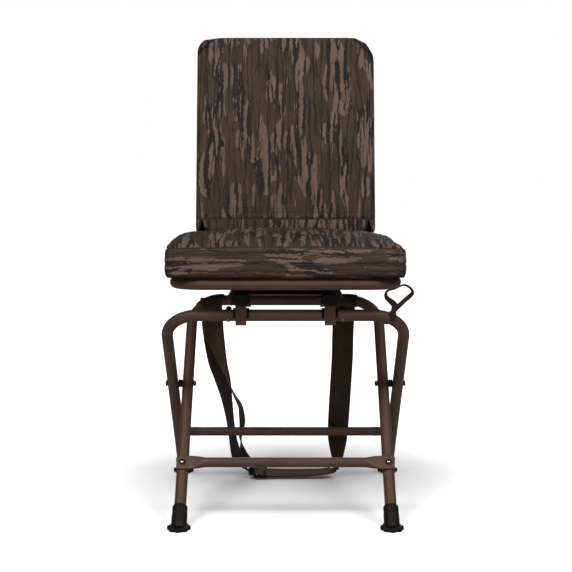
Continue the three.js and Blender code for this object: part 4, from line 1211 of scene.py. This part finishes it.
# across, up
BACK_OUTLINE = np.array([
    (-BACK_HX + 3, -18.6), (BACK_HX - 3, -18.6), (BACK_HX - 0.5, -15), (BACK_TOP_HX + 0.4, 352),
    (BACK_TOP_HX - 0.7, 363.3), (BACK_TOP_HX - 2.6, 371.6), (BACK_TOP_HX - 9.4, 382.4),
    (BACK_TOP_HX - 15.5, 392.6), (BACK_TOP_HX - 27, 399), (BACK_TOP_HX - 41, 405.4),
    (BACK_TOP_HX - 60, BACK_TOP), (0, BACK_TOP), (-BACK_TOP_HX + 70, BACK_TOP),
    (-BACK_TOP_HX + 50, 405.4), (-BACK_TOP_HX + 30, 403.0), (-BACK_TOP_HX + 13.0, 400.4),
    (-BACK_TOP_HX + 5.5, 391.5), (-BACK_TOP_HX + 0.3, 381), (-BACK_TOP_HX, 362),
    (-BACK_HX + 0.5, -15)])
# depth, inset of the outline
BACK_LAYERS = ((15.5, 9), (14.8, 4.2), (12, 1.4), (7, 0.3), (0, 0), (-7, 0.4), (-11, 1.8),
               (-13.2, 4.6), (-14, 9))


def back_shape():
    """Flat padded sleeve, its outline drawn in towards the front and rear faces."""
    centre = np.array([0, 190.0])
    rings = []
    for depth, inset in BACK_LAYERS:
        shrink = np.array([1 - inset / 192, 1 - inset / 212])
        outline = centre + (BACK_OUTLINE - centre) * shrink
        rings.append([back_point(x, depth, up) for x, up in outline])
    return flat_loft(rings)


def back_coords(places):
    """Metres in the world to (x, depth, up) in mm."""
    offset = places / MM - np.array([0, BACK_Y, BACK_Z])
    return offset[:, 0], offset @ BACK_OUT, offset @ BACK_UP


def corner_tucks(x, up):
    """For each top corner: distance past its slanting tuck line, and where it counts."""
    for sign, offset in ((-1, 27.5), (1, 32.5)):
        past = ((sign * x - BACK_TOP_HX) + (up - BACK_TOP)) / math.sqrt(2) + offset
        yield past, (sign * x > BACK_TOP_HX - 60) & (up > 340)


def fill_back(obj):
    x, depth, up = back_coords(read_vectors(obj, "co"))
    edge = np.maximum(np.abs(x) - (BACK_HX - 10), up - 392)
    pin = rise(edge, -3, 8) * 0.9
    pin = np.maximum(pin, rise(up, 4, -12))
    pin = np.maximum(pin, ridge(up, 11, 4))
    inflate(obj, pin, pressure=1.3, cap=0.0035, stiffness=25.0)


def carve_back(obj):
    """Hems, seams, tube ridges and folds, as heights in mm along the normals."""
    places, normals = shape_of(obj)
    x, depth, up = back_coords(places)
    face = np.abs(normals @ BACK_OUT)
    front = (normals @ BACK_OUT) < -0.5
    # front hem: a soft ledge with two rows of stitching; a single groove on the rear panel
    height = front * (relief(up, (-1.7, 10.5, 1.4)) + 0.5 * rise(up, 8, -6) * (up < 10))
    height += front * relief(up, *((-0.55, row, 1.6) for row in HEM_ROWS))
    height += (~front) * face * relief(up, (-0.7, 14, 1.6))
    # tube shows through as a soft ridge near the edges and top, with a hollow inside it
    to_tube = np.minimum(np.abs(np.abs(x) - BACK_TUBE_X),
                         np.where(np.abs(x) < 180, np.abs(up - BACK_TUBE_TOP), 99))
    height += face * 1.1 * ridge(to_tube, 0, 9) * (up > 16)
    inner = np.minimum(BACK_TUBE_X - np.abs(x), BACK_TUBE_TOP - up)
    height += face * -1.6 * rise(inner, 0, 40) * rise(up, 12, 30) * (0.75 + 0.25 * (~front))
    # the cover is folded back over each top corner
    for past, near in corner_tucks(x, up):
        tuck = -0.45 * np.clip(past, 0, 14) + relief(past, (-1.9, 0, 1.6), (0.9, -4, 3.0))
        height += np.where(near & front, tuck, 0)
    height += (1 - face) * relief(depth, (-1.1, BACK_SEAM_DEPTH, 1.2))

    def folds(stretch, scale, seed):
        return value_noise(np.stack([x * MM, x * 0, up * MM * stretch], 1), scale, seed)

    # long shallow folds, puckers at the hem, and draws from the four corners
    waves = (folds(stretch=0.45, scale=26, seed=21) * 0.9
             + folds(stretch=0.6, scale=55, seed=7) * 0.35)
    height += face * waves * np.clip(inner / 14 + 0.3, 0.15, 1)
    height += face * folds(stretch=0.2, scale=120, seed=13) * 0.5 * ridge(up, 14, 12)
    for sign in (-1, 1):
        height += face * gathers(x - sign * 186, up - 397, reach=60, folds=9, phase=sign) * 0.8
        height += face * gathers(x - sign * 178, up - 8, reach=40, folds=8) * 0.5
    set_coords(obj, places + normals * (height * MM)[:, None])


def back_prism(name, outline, sign, near, far):
    """Solid between two depths, over an outline mirrored by sign."""
    rings = [[back_point(sign * x, depth, up) for x, up in outline] for depth in (near, far)]
    return obj_from(name, *flat_loft(rings), LINER_SHADE, smooth=False)


def notch_back(obj):
    """Pockets for the hinge brackets open to the rear; the front has an upside-down V slit."""
    pocket = ((158.6, -24), (188.0, -24), (187.0, 2), (180.5, 10.2), (172.0, 12.0), (160.0, 10.2))
    slit = ((167.5, -26), (188.0, -26), (178.5, 10))
    for sign in (-1, 1):
        boolean(obj, back_prism("cut", pocket, sign, near=-8.6, far=24), "DIFFERENCE")
        boolean(obj, back_prism("cut", slit, sign, near=-30, far=-4), "DIFFERENCE")


def print_back(obj):
    """Separate lengths of print on the front, the rear and the hem."""
    places, normals = shape_of(obj)
    x, depth, up = back_coords(places)
    facing = normals @ BACK_OUT
    rear, front = facing > 0.3, facing < -0.3
    hem = (~rear) & (up < HEM_FOLD)
    pat = (np.where(rear, -x, x) * MM + np.where(rear, 0.9, 0.0) + hem * 0.37,
           up * MM + 0.05 + hem * 0.21, np.where(rear, 0.7, 0.0))
    # painted shade with some dirt: dark corner tucks, dark lines at the hem fold, hem rows and side
    # seams, and a darker bottom strip and side edges on the front
    tucks = [near * np.maximum(ridge(past, 0, 3.8), 0.35 * rise(past, 0, 5))
             for past, near in corner_tucks(x, up)]
    shade_and_grime = np.maximum.reduce([
        front * 0.95 * ridge(up, HEM_FOLD, 1.5),
        front * 0.75 * rise(up, -13.5, -4),
        front * relief(up, *((0.3, row, 1.6) for row in HEM_ROWS)),
        *tucks,
        front * 0.5 * rise(np.abs(x), 189.5, 3) * (up < 395),
        0.7 * ridge(depth, BACK_SEAM_DEPTH, 1.6) * (np.abs(facing) < 0.6)])
    set_print(obj, pat, shade_and_grime)


def back_stitch_row(name, points, direction, radius):
    points = [point * MM for point in points]
    path, normals = project(back, points, [direction] * len(points))
    stitches(name, path, normals, "backrest", pitch=4.0, length=2.9, radius=radius)


back = obj_from("look_back_pad", *back_shape(), CAMO, smooth=False)
remesh(back, 0.0045)
fill_back(back)
subdivide(back)
carve_back(back)
notch_back(back)
shade_smooth(back, sharp=50)
print_back(back)
register(back, "backrest")

# black sheets behind the front slits: painted shade for the dark inside of the pad
for sign, word in SIDES:
    lining_shade_outline = ((166.8, -17.6), (188.6, -17.6), (178.6, 14.5))
    register(back_prism(f"back_lining_shade_{word}", lining_shade_outline, sign, near=-12.2, far=-10.8),
             "backrest")
for letter, up in zip("ab", HEM_ROWS):
    back_stitch_row(f"back_hem_stitch_{letter}",
                    [back_point(x, -60, up) for x in np.linspace(-188, 188, 240)],
                    BACK_OUT, radius=0.42)
for sign, word in SIDES:
    back_stitch_row(f"back_side_stitch_{word}",
                    [back_point(sign * 230, -1.2, up) for up in np.linspace(14, 378, 220)],
                    np.array([-sign, 0, 0.0]), radius=0.4)

# ------------------------------------------------------------------ webbing
STRAP_W = 45.7


def catmull(keys, steps):
    """Catmull-Rom curve through rows of any width."""
    keys = np.asarray(keys, float)
    last = len(keys) - 1
    out = []
    for i in range(last):
        p0, p1, p2, p3 = keys[max(i - 1, 0)], keys[i], keys[i + 1], keys[min(i + 2, last)]
        for j in range(steps):
            t = j / steps
            out.append(0.5 * ((2 * p1) + (-p0 + p2) * t + (2 * p0 - 5 * p1 + 4 * p2 - p3) * t * t
                              + (-p0 + 3 * p1 - 3 * p2 + p3) * t ** 3))
    out.append(keys[-1])
    return np.array(out)


def ribbon(name, points, across, width, thick, mat=WEB, cup=0.0, v_start=0.0):
    """Webbing band: rounded flat section, woven UV. Width is one value or one per point."""
    upper = [(u, 0.5 * math.sqrt(max(0.0, 1 - (2 * abs(u)) ** 14)))
             for u in np.linspace(-0.5, 0.5, 11)]
    section = upper + [(u, -h) for u, h in reversed(upper[1:-1])]
    count = len(points)
    widths = np.broadcast_to(width, count)
    rings, uvs = [], []
    travel = v_start
    for i in range(count):
        tangent = unit(points[min(i + 1, count - 1)] - points[max(i - 1, 0)])
        side = unit(across[i] - tangent * (across[i] @ tangent))
        normal = np.cross(tangent, side)
        rings.append([points[i] + side * u * widths[i]
                      + normal * (h * thick + cup * (1 - (2 * u) ** 2)) for u, h in section])
        if i:
            travel += np.linalg.norm(points[i] - points[i - 1]) * MM
        uvs += [(u + 0.5, travel) for u, _ in section]
    uvs += [(0.5, 0)] * 2  # the middles of the two end caps
    return obj_from(name, *loft(rings), mat, uvs=uvs)


def hang(obj):
    """Register a piece of the carry strap on the inner frame, with a mesh of its own."""
    register(obj, "inner_frame")
    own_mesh(obj)


def bend_point(side, x, half_x):
    """Point and tangent on a top bar's centre line, into its end bends."""
    into = max(0.0, abs(x) - (half_x - BEND_R))
    angle = math.asin(min(1, into / BEND_R))
    point = leg_point(side, x, BEND_R * (1 - math.cos(angle)))
    down = leg_dir(side) * (math.sin(angle) * (1 if x > 0 else -1))
    return point, unit(np.array([math.cos(angle), 0, 0]) + down)


def bar_axes(tangent):
    """Directions square to a bar: sideways and up."""
    up = unit(np.array([0, 0, 1.0]) - tangent * tangent[2])
    return np.cross(tangent, up), up


def bar_wrap(name, x0, x1, skew):
    """Webbing wrapped once round the rear top bar: a short tube with flat edges."""
    radius, thick = 11.7, 1.9
    around, rows = 44, 9
    verts, uvs, faces = [], [], []
    for layer in (0, 1):
        for i in range(rows):
            for j in range(around):
                angle = math.tau * j / around
                x = x0 + (x1 - x0) * i / (rows - 1) + skew * math.sin(angle)
                point, tangent = bend_point(-1, x, INNER_X)
                side, up = bar_axes(tangent)
                thin = 0.35 if i in (0, rows - 1) else 0.0
                r = radius + thick - thin if layer else radius - 0.25
                verts.append(point + r * (math.cos(angle) * side + math.sin(angle) * up))
                uvs.append((i / (rows - 1), angle * r * MM))

    def at(layer, i, j):
        return layer * rows * around + i * around + j % around

    for i in range(rows - 1):
        for j in range(around):
            faces.append((at(1, i, j), at(1, i, j + 1), at(1, i + 1, j + 1), at(1, i + 1, j)))
            faces.append((at(0, i, j), at(0, i + 1, j), at(0, i + 1, j + 1), at(0, i, j + 1)))
    for i in (0, rows - 1):
        for j in range(around):
            faces.append((at(0, i, j), at(0, i, j + 1), at(1, i, j + 1), at(1, i, j)))
    register(obj_from(name, verts, faces, WEB, uvs=uvs), "inner_frame")


# Falls: x, y, z, angle of the width about the vertical in degrees.
# Floor runs: x, y, z, slope of the width.
RIGHT_FALL = [
    (127, 157.6, 392, 0), (125.5, 160.2, 376, 0), (122.5, 160.5, 322, 2), (121, 160.5, 258, 6),
    (116, 161.5, 170, 8), (112, 162.5, 100, 22), (110.5, 163.5, 62, 48), (110, 165, 36, 66)]
RIGHT_FLOOR = [
    (109.5, 167, 26, 0.10), (106.5, 168, 17.2, 0.03), (96, 168, 13.4, 0.02), (58, 168, 9.6, 0.07),
    (0, 168, 8.4, 0.11), (-46, 168, 7.9, 0.13), (-62, 168, 7.4, 0.13)]
LOAD_FALL = [
    (-158, 157.6, 390, 2), (-158, 160.2, 374, 3), (-154.5, 160.5, 322, 6), (-146, 161, 257, 22),
    (-135, 163, 214, 36), (-126, 164, 170, 54), (-118, 164, 118, 64), (-112, 164, 80, 62),
    (-104, 165, 48, 50), (-92, 167, 24, 30)]
LOAD_FLOOR = [(-80, 168, 13.2, 0.15), (-72, 168, 12.0, 0.13), (-66, 168, 11.6, 0.13)]
TAIL_FALL = [
    (-157.5, 158.0, 386, 1), (-157, 157.9, 360, 2), (-155.4, 157, 340.8, 8),
    (-150.6, 153, 311.3, 25), (-139.8, 147, 269.3, 51), (-125.8, 139.5, 227.7, 73),
    (-115.2, 141, 197.3, 85), (-106.6, 149, 176.7, 90), (-99, 154, 160.8, 96),
    (-95.4, 157, 146.8, 101), (-93.1, 160, 128.3, 104), (-92.8, 161, 115.1, 104),
    (-95.5, 161, 95.1, 99), (-95.4, 161, 83.6, 90), (-93.2, 162, 72.3, 79),
    (-87.3, 164, 47.5, 56), (-78, 166, 27, 32)]
TAIL_FLOOR = [(-68, 166.7, 16.6, 0.15), (-60, 167, 15.6, 0.13), (-54, 167, 14.9, 0.13),
              (-48, 167, 12.6, 0.13)]
# x, y, z
DOUBLED = [(-40, 168, 10.9), (-20, 168, 10.8), (20, 168, 10.7), (58, 168, 12.0),
           (80, 168, 13.4), (97, 168, 16.0)]


def strap_run(name, fall, floor_run, floor_steps=6, floor_skew=0.02, thick=2.0, **look):
    """Band that hangs from the bar and turns into the run along the floor."""
    fall, floor_run = catmull(fall, 10), catmull(floor_run, floor_steps)
    angle = np.radians(fall[:, 3])
    hanging = np.stack([np.cos(angle), -np.sin(angle), 0 * angle], 1)
    slope = floor_run[:, 3]
    lying = np.stack([0 * slope + floor_skew, np.full(len(slope), -1.0), -slope], 1)
    across = np.concatenate([hanging, lying])
    for _ in range(6):
        across[1:-1] = (across[:-2] + across[1:-1] * 2 + across[2:]) / 4
    points = np.concatenate([fall[:, :3], floor_run[:, :3]])
    hang(ribbon(name, points, across, STRAP_W, thick, **look))


def doubled_band():
    """Second layer on the floor run."""
    points = catmull(DOUBLED, 8)
    x = points[:, 0]
    slope = np.interp(x, (-46, 0, 58, 100), (0.13, 0.11, 0.07, 0.02))
    across = np.stack([0 * x, np.full(len(x), -1.0), -slope], 1)
    # the doubled band wears the lighter webbing copy, painted light
    hang(ribbon("strap_doubled_band", points, across, STRAP_W - 1, 1.9, mat=WEB_LIT, v_start=0.1))


def slider():
    """Moulded three-bar adjuster lying on the floor run."""
    along = np.array([1.0, 0, 0])
    across = unit([0, -0.99, -0.13])
    normal = np.cross(along, across)
    centre = np.array([-54.0, 168, 10.9])
    length, width = 23.0, 52.0
    cos, sin = np.cos(angles(20))[:, None], np.sin(angles(20))[:, None]

    def bar(middle, half, half_width, half_height):
        start, end = middle - half, middle + half
        side = np.cross(unit(end - start), normal)
        rings = [start + (end - start) * share
                 + size * (half_width * cos * side + half_height * sin * normal)
                 for share, size in ((0, 0.75), (0.04, 1), (0.5, 1), (0.96, 1), (1, 0.75))]
        return obj_from("bar", *loft(rings), PLASTIC)

    bars = [bar(centre + along * x, across * width / 2, 2.3, 2.9)
            for x in (-length / 2, 0, length / 2)]
    bars += [bar(centre + across * w, along * (length / 2 + 2.2), 2.1, 3.0)
             for w in (-width / 2, width / 2)]
    obj = bars[0]
    obj.name = "look_strap_slider"
    for other in bars[1:]:
        boolean(obj, other, "UNION")
    shade_smooth(obj, sharp=40)
    hang(obj)


# x, z, turn of the width out of the loop's plane in degrees
KEEPER = [
    (196.3, 388.5, 0), (199.4, 393.4, 0), (208, 402, 0), (217.9, 411.0, 2), (227, 418.8, 8),
    (233.0, 424.0, 28), (236.4, 429, 50), (234.0, 435.2, 60), (228.0, 440.3, 62),
    (220, 443.0, 64), (211.5, 440.2, 66), (203, 436.0, 64), (194.5, 434.2, 60),
    (188.6, 431.2, 52), (186.2, 426.0, 38), (188.2, 419.4, 16), (194.4, 413.6, 4),
    (201.0, 408.0, 0), (203.4, 402.2, 0), (201.4, 396.0, 0), (198.0, 390.5, 0)]


def keeper_loop():
    """Standing eye on the right end of the front top bar."""
    curve = catmull(KEEPER, 8)
    count = len(curve)
    order = np.arange(count)
    forward = np.clip(1 - order / 34, 0, 1) + 0.62 * np.clip(1 - (count - 1 - order) / 30, 0, 1)
    y = -BAR_Y - 8.5 * forward + 1.2 * np.sin(np.linspace(0, math.tau, count))
    points = np.stack([curve[:, 0], y, curve[:, 1]], 1)
    depth = np.array([0, 1.0, 0])
    across = []
    for i in range(count):
        tangent = unit(points[min(i + 1, count - 1)] - points[max(i - 1, 0)])
        angle = math.radians(curve[i, 2])
        across.append(unit(np.cross(tangent, depth)) * math.cos(angle) + depth * math.sin(angle))
    width = np.interp(order, (0, count - 46, count - 24, count - 12, count - 1),
                      (9, 7.5, 12.0, 12.5, 8))
    register(ribbon("look_keeper_loop", points, across, width, 1.5), "outer_frame")


def keeper_wrap():
    """Turn of the keeper round the bar, swelling over the loop and rounded at its end."""
    points, across = [], []
    for angle in np.radians(np.linspace(250, -16, 40)):
        point, tangent = bend_point(1, 194.2 + 1.6 * math.sin(angle), OUTER_X)
        side, up = bar_axes(tangent)
        swell = 1.7 * math.exp(-((math.degrees(angle) - 38) / 34) ** 2)
        points.append(point + (12.4 + swell) * (math.cos(angle) * side + math.sin(angle) * up))
        across.append(tangent)
    tip = np.clip(np.arange(40) - 35.6, 0, 3.3) / 3.6
    width = 10.4 * np.sqrt(np.clip(1 - tip ** 2, 0.05, 1))
    register(ribbon("keeper_wrap", points, across, width, 2.0, cup=0.5), "outer_frame")


strap_run("look_carry_strap", RIGHT_FALL, RIGHT_FLOOR, floor_steps=8, floor_skew=0.0)
# the load band wears the darker webbing copy, painted shade, and the tail the lighter copy, painted
# light
strap_run("strap_load_band", LOAD_FALL, LOAD_FLOOR, mat=WEB_SHADED, v_start=0.3)
strap_run("strap_tail", TAIL_FALL, TAIL_FLOOR, thick=1.9, mat=WEB_LIT, v_start=0.7)
doubled_band()
bar_wrap("strap_wrap_left", -181, -133, skew=3.5)
bar_wrap("strap_wrap_right", 104, 151, skew=-2)
slider()
keeper_loop()
keeper_wrap()

# ------------------------------------------------------------------ stage (metres)
FLOOR_HALF = 14.0
CAMERA_LENS = 72.37762238  # mm, on a 36 mm sensor
CAMERA_TILT = 0.0843       # radians below level
# name, place, target, size, power
LIGHTS = (
    ("key", (-1.5, -2.1, 3.1), (0, 0, 0.45), 1.5, 100),
    ("fill", (1.7, -1.9, 2.7), (0, 0, 0.45), 1.5, 72),
    ("low", (0.0, -3.6, 0.9), (0, 0, 0.3), 1.8, 17),
    ("rear", (0.5, 2.9, 2.0), (0, 0, 0.45), 1.8, 30))


def floor_material():
    """White sweep: to the camera it glows, with a painted shadow where the glow is turned down
    under the chair, and burns out round it.
    """
    mat = Shader("pale_floor")
    place = mat.add("NewGeometry").outputs["Position"]
    # painted shadow: the glow is lowest round a point just behind the chair's middle and reaches
    # full white 0.68 m from it
    offset = mat.vmath("SUBTRACT", place, (0, 0.13, 0))
    distance = mat.add("VectorMath", offset, operation="LENGTH").outputs["Value"]
    glow = mat.ramp(distance, over=(0.1, 0.68), to=(0.02, 1.0))
    grain = mat.noise(place, scale=700, rough=0.6)
    mat.surface(color=(0.5, 0.5, 0.5), rough=0.8, specular=0.0,
                normal=mat.bump(grain, strength=0.05, distance=0.0003))
    emission = mat.add("Emission")
    mat.plug(glow, emission.inputs["Strength"])
    diffuse = mat.add("BsdfDiffuse", (0.74, 0.74, 0.74))
    seen = mat.add("AddShader", diffuse.outputs[0], emission.outputs[0])
    is_camera = mat.add("LightPath").outputs["Is Camera Ray"]
    mixed = mat.add("MixShader", is_camera, mat.bsdf.outputs[0], seen.outputs[0])
    mat.plug(mixed.outputs[0], mat.out.inputs[0])
    return mat.material


def add_floor():
    mesh = bpy.data.meshes.new("floor")
    corners = [(i * FLOOR_HALF, j * FLOOR_HALF, 0) for i, j in ((-1, -1), (1, -1), (1, 1), (-1, 1))]
    mesh.from_pydata(corners, [], [(0, 1, 2, 3)])
    floor = bpy.data.objects.new("floor", mesh)
    scene.collection.objects.link(floor)
    mesh.materials.append(floor_material())


def add_world():
    """White to the camera, dim as a light."""
    world = bpy.data.worlds.new("studio")
    scene.world = world
    world.use_nodes = True
    tree = world.node_tree
    background = tree.nodes["Background"]
    background.inputs["Color"].default_value = (1, 1, 1, 1)
    light_path = tree.nodes.new("ShaderNodeLightPath")
    strength = tree.nodes.new("ShaderNodeMapRange")
    strength.inputs[3].default_value = 0.09
    strength.inputs[4].default_value = 1.0
    tree.links.new(light_path.outputs["Is Camera Ray"], strength.inputs[0])
    tree.links.new(strength.outputs[0], background.inputs["Strength"])


def add_light(name, place, target, size, power):
    light = bpy.data.lights.new(name, "AREA")
    light.energy = power
    light.size = size
    obj = bpy.data.objects.new(name, light)
    scene.collection.objects.link(obj)
    obj.location = place
    obj.rotation_euler = (Vector(target) - Vector(place)).to_track_quat("-Z", "Y").to_euler()


def add_camera():
    camera = bpy.data.cameras.new("camera")
    camera.lens = CAMERA_LENS
    camera.sensor_width = 36.0
    camera.clip_end = 60
    obj = bpy.data.objects.new("camera", camera)
    scene.collection.objects.link(obj)
    obj.location = (0.001, -2.2746, 0.621)
    obj.rotation_euler = (math.radians(90) - CAMERA_TILT, 0, 0)
    scene.camera = obj


add_floor()
add_world()
for light in LIGHTS:
    add_light(*light)
add_camera()
scene.view_settings.view_transform = "Standard"
scene.view_settings.look = "None"
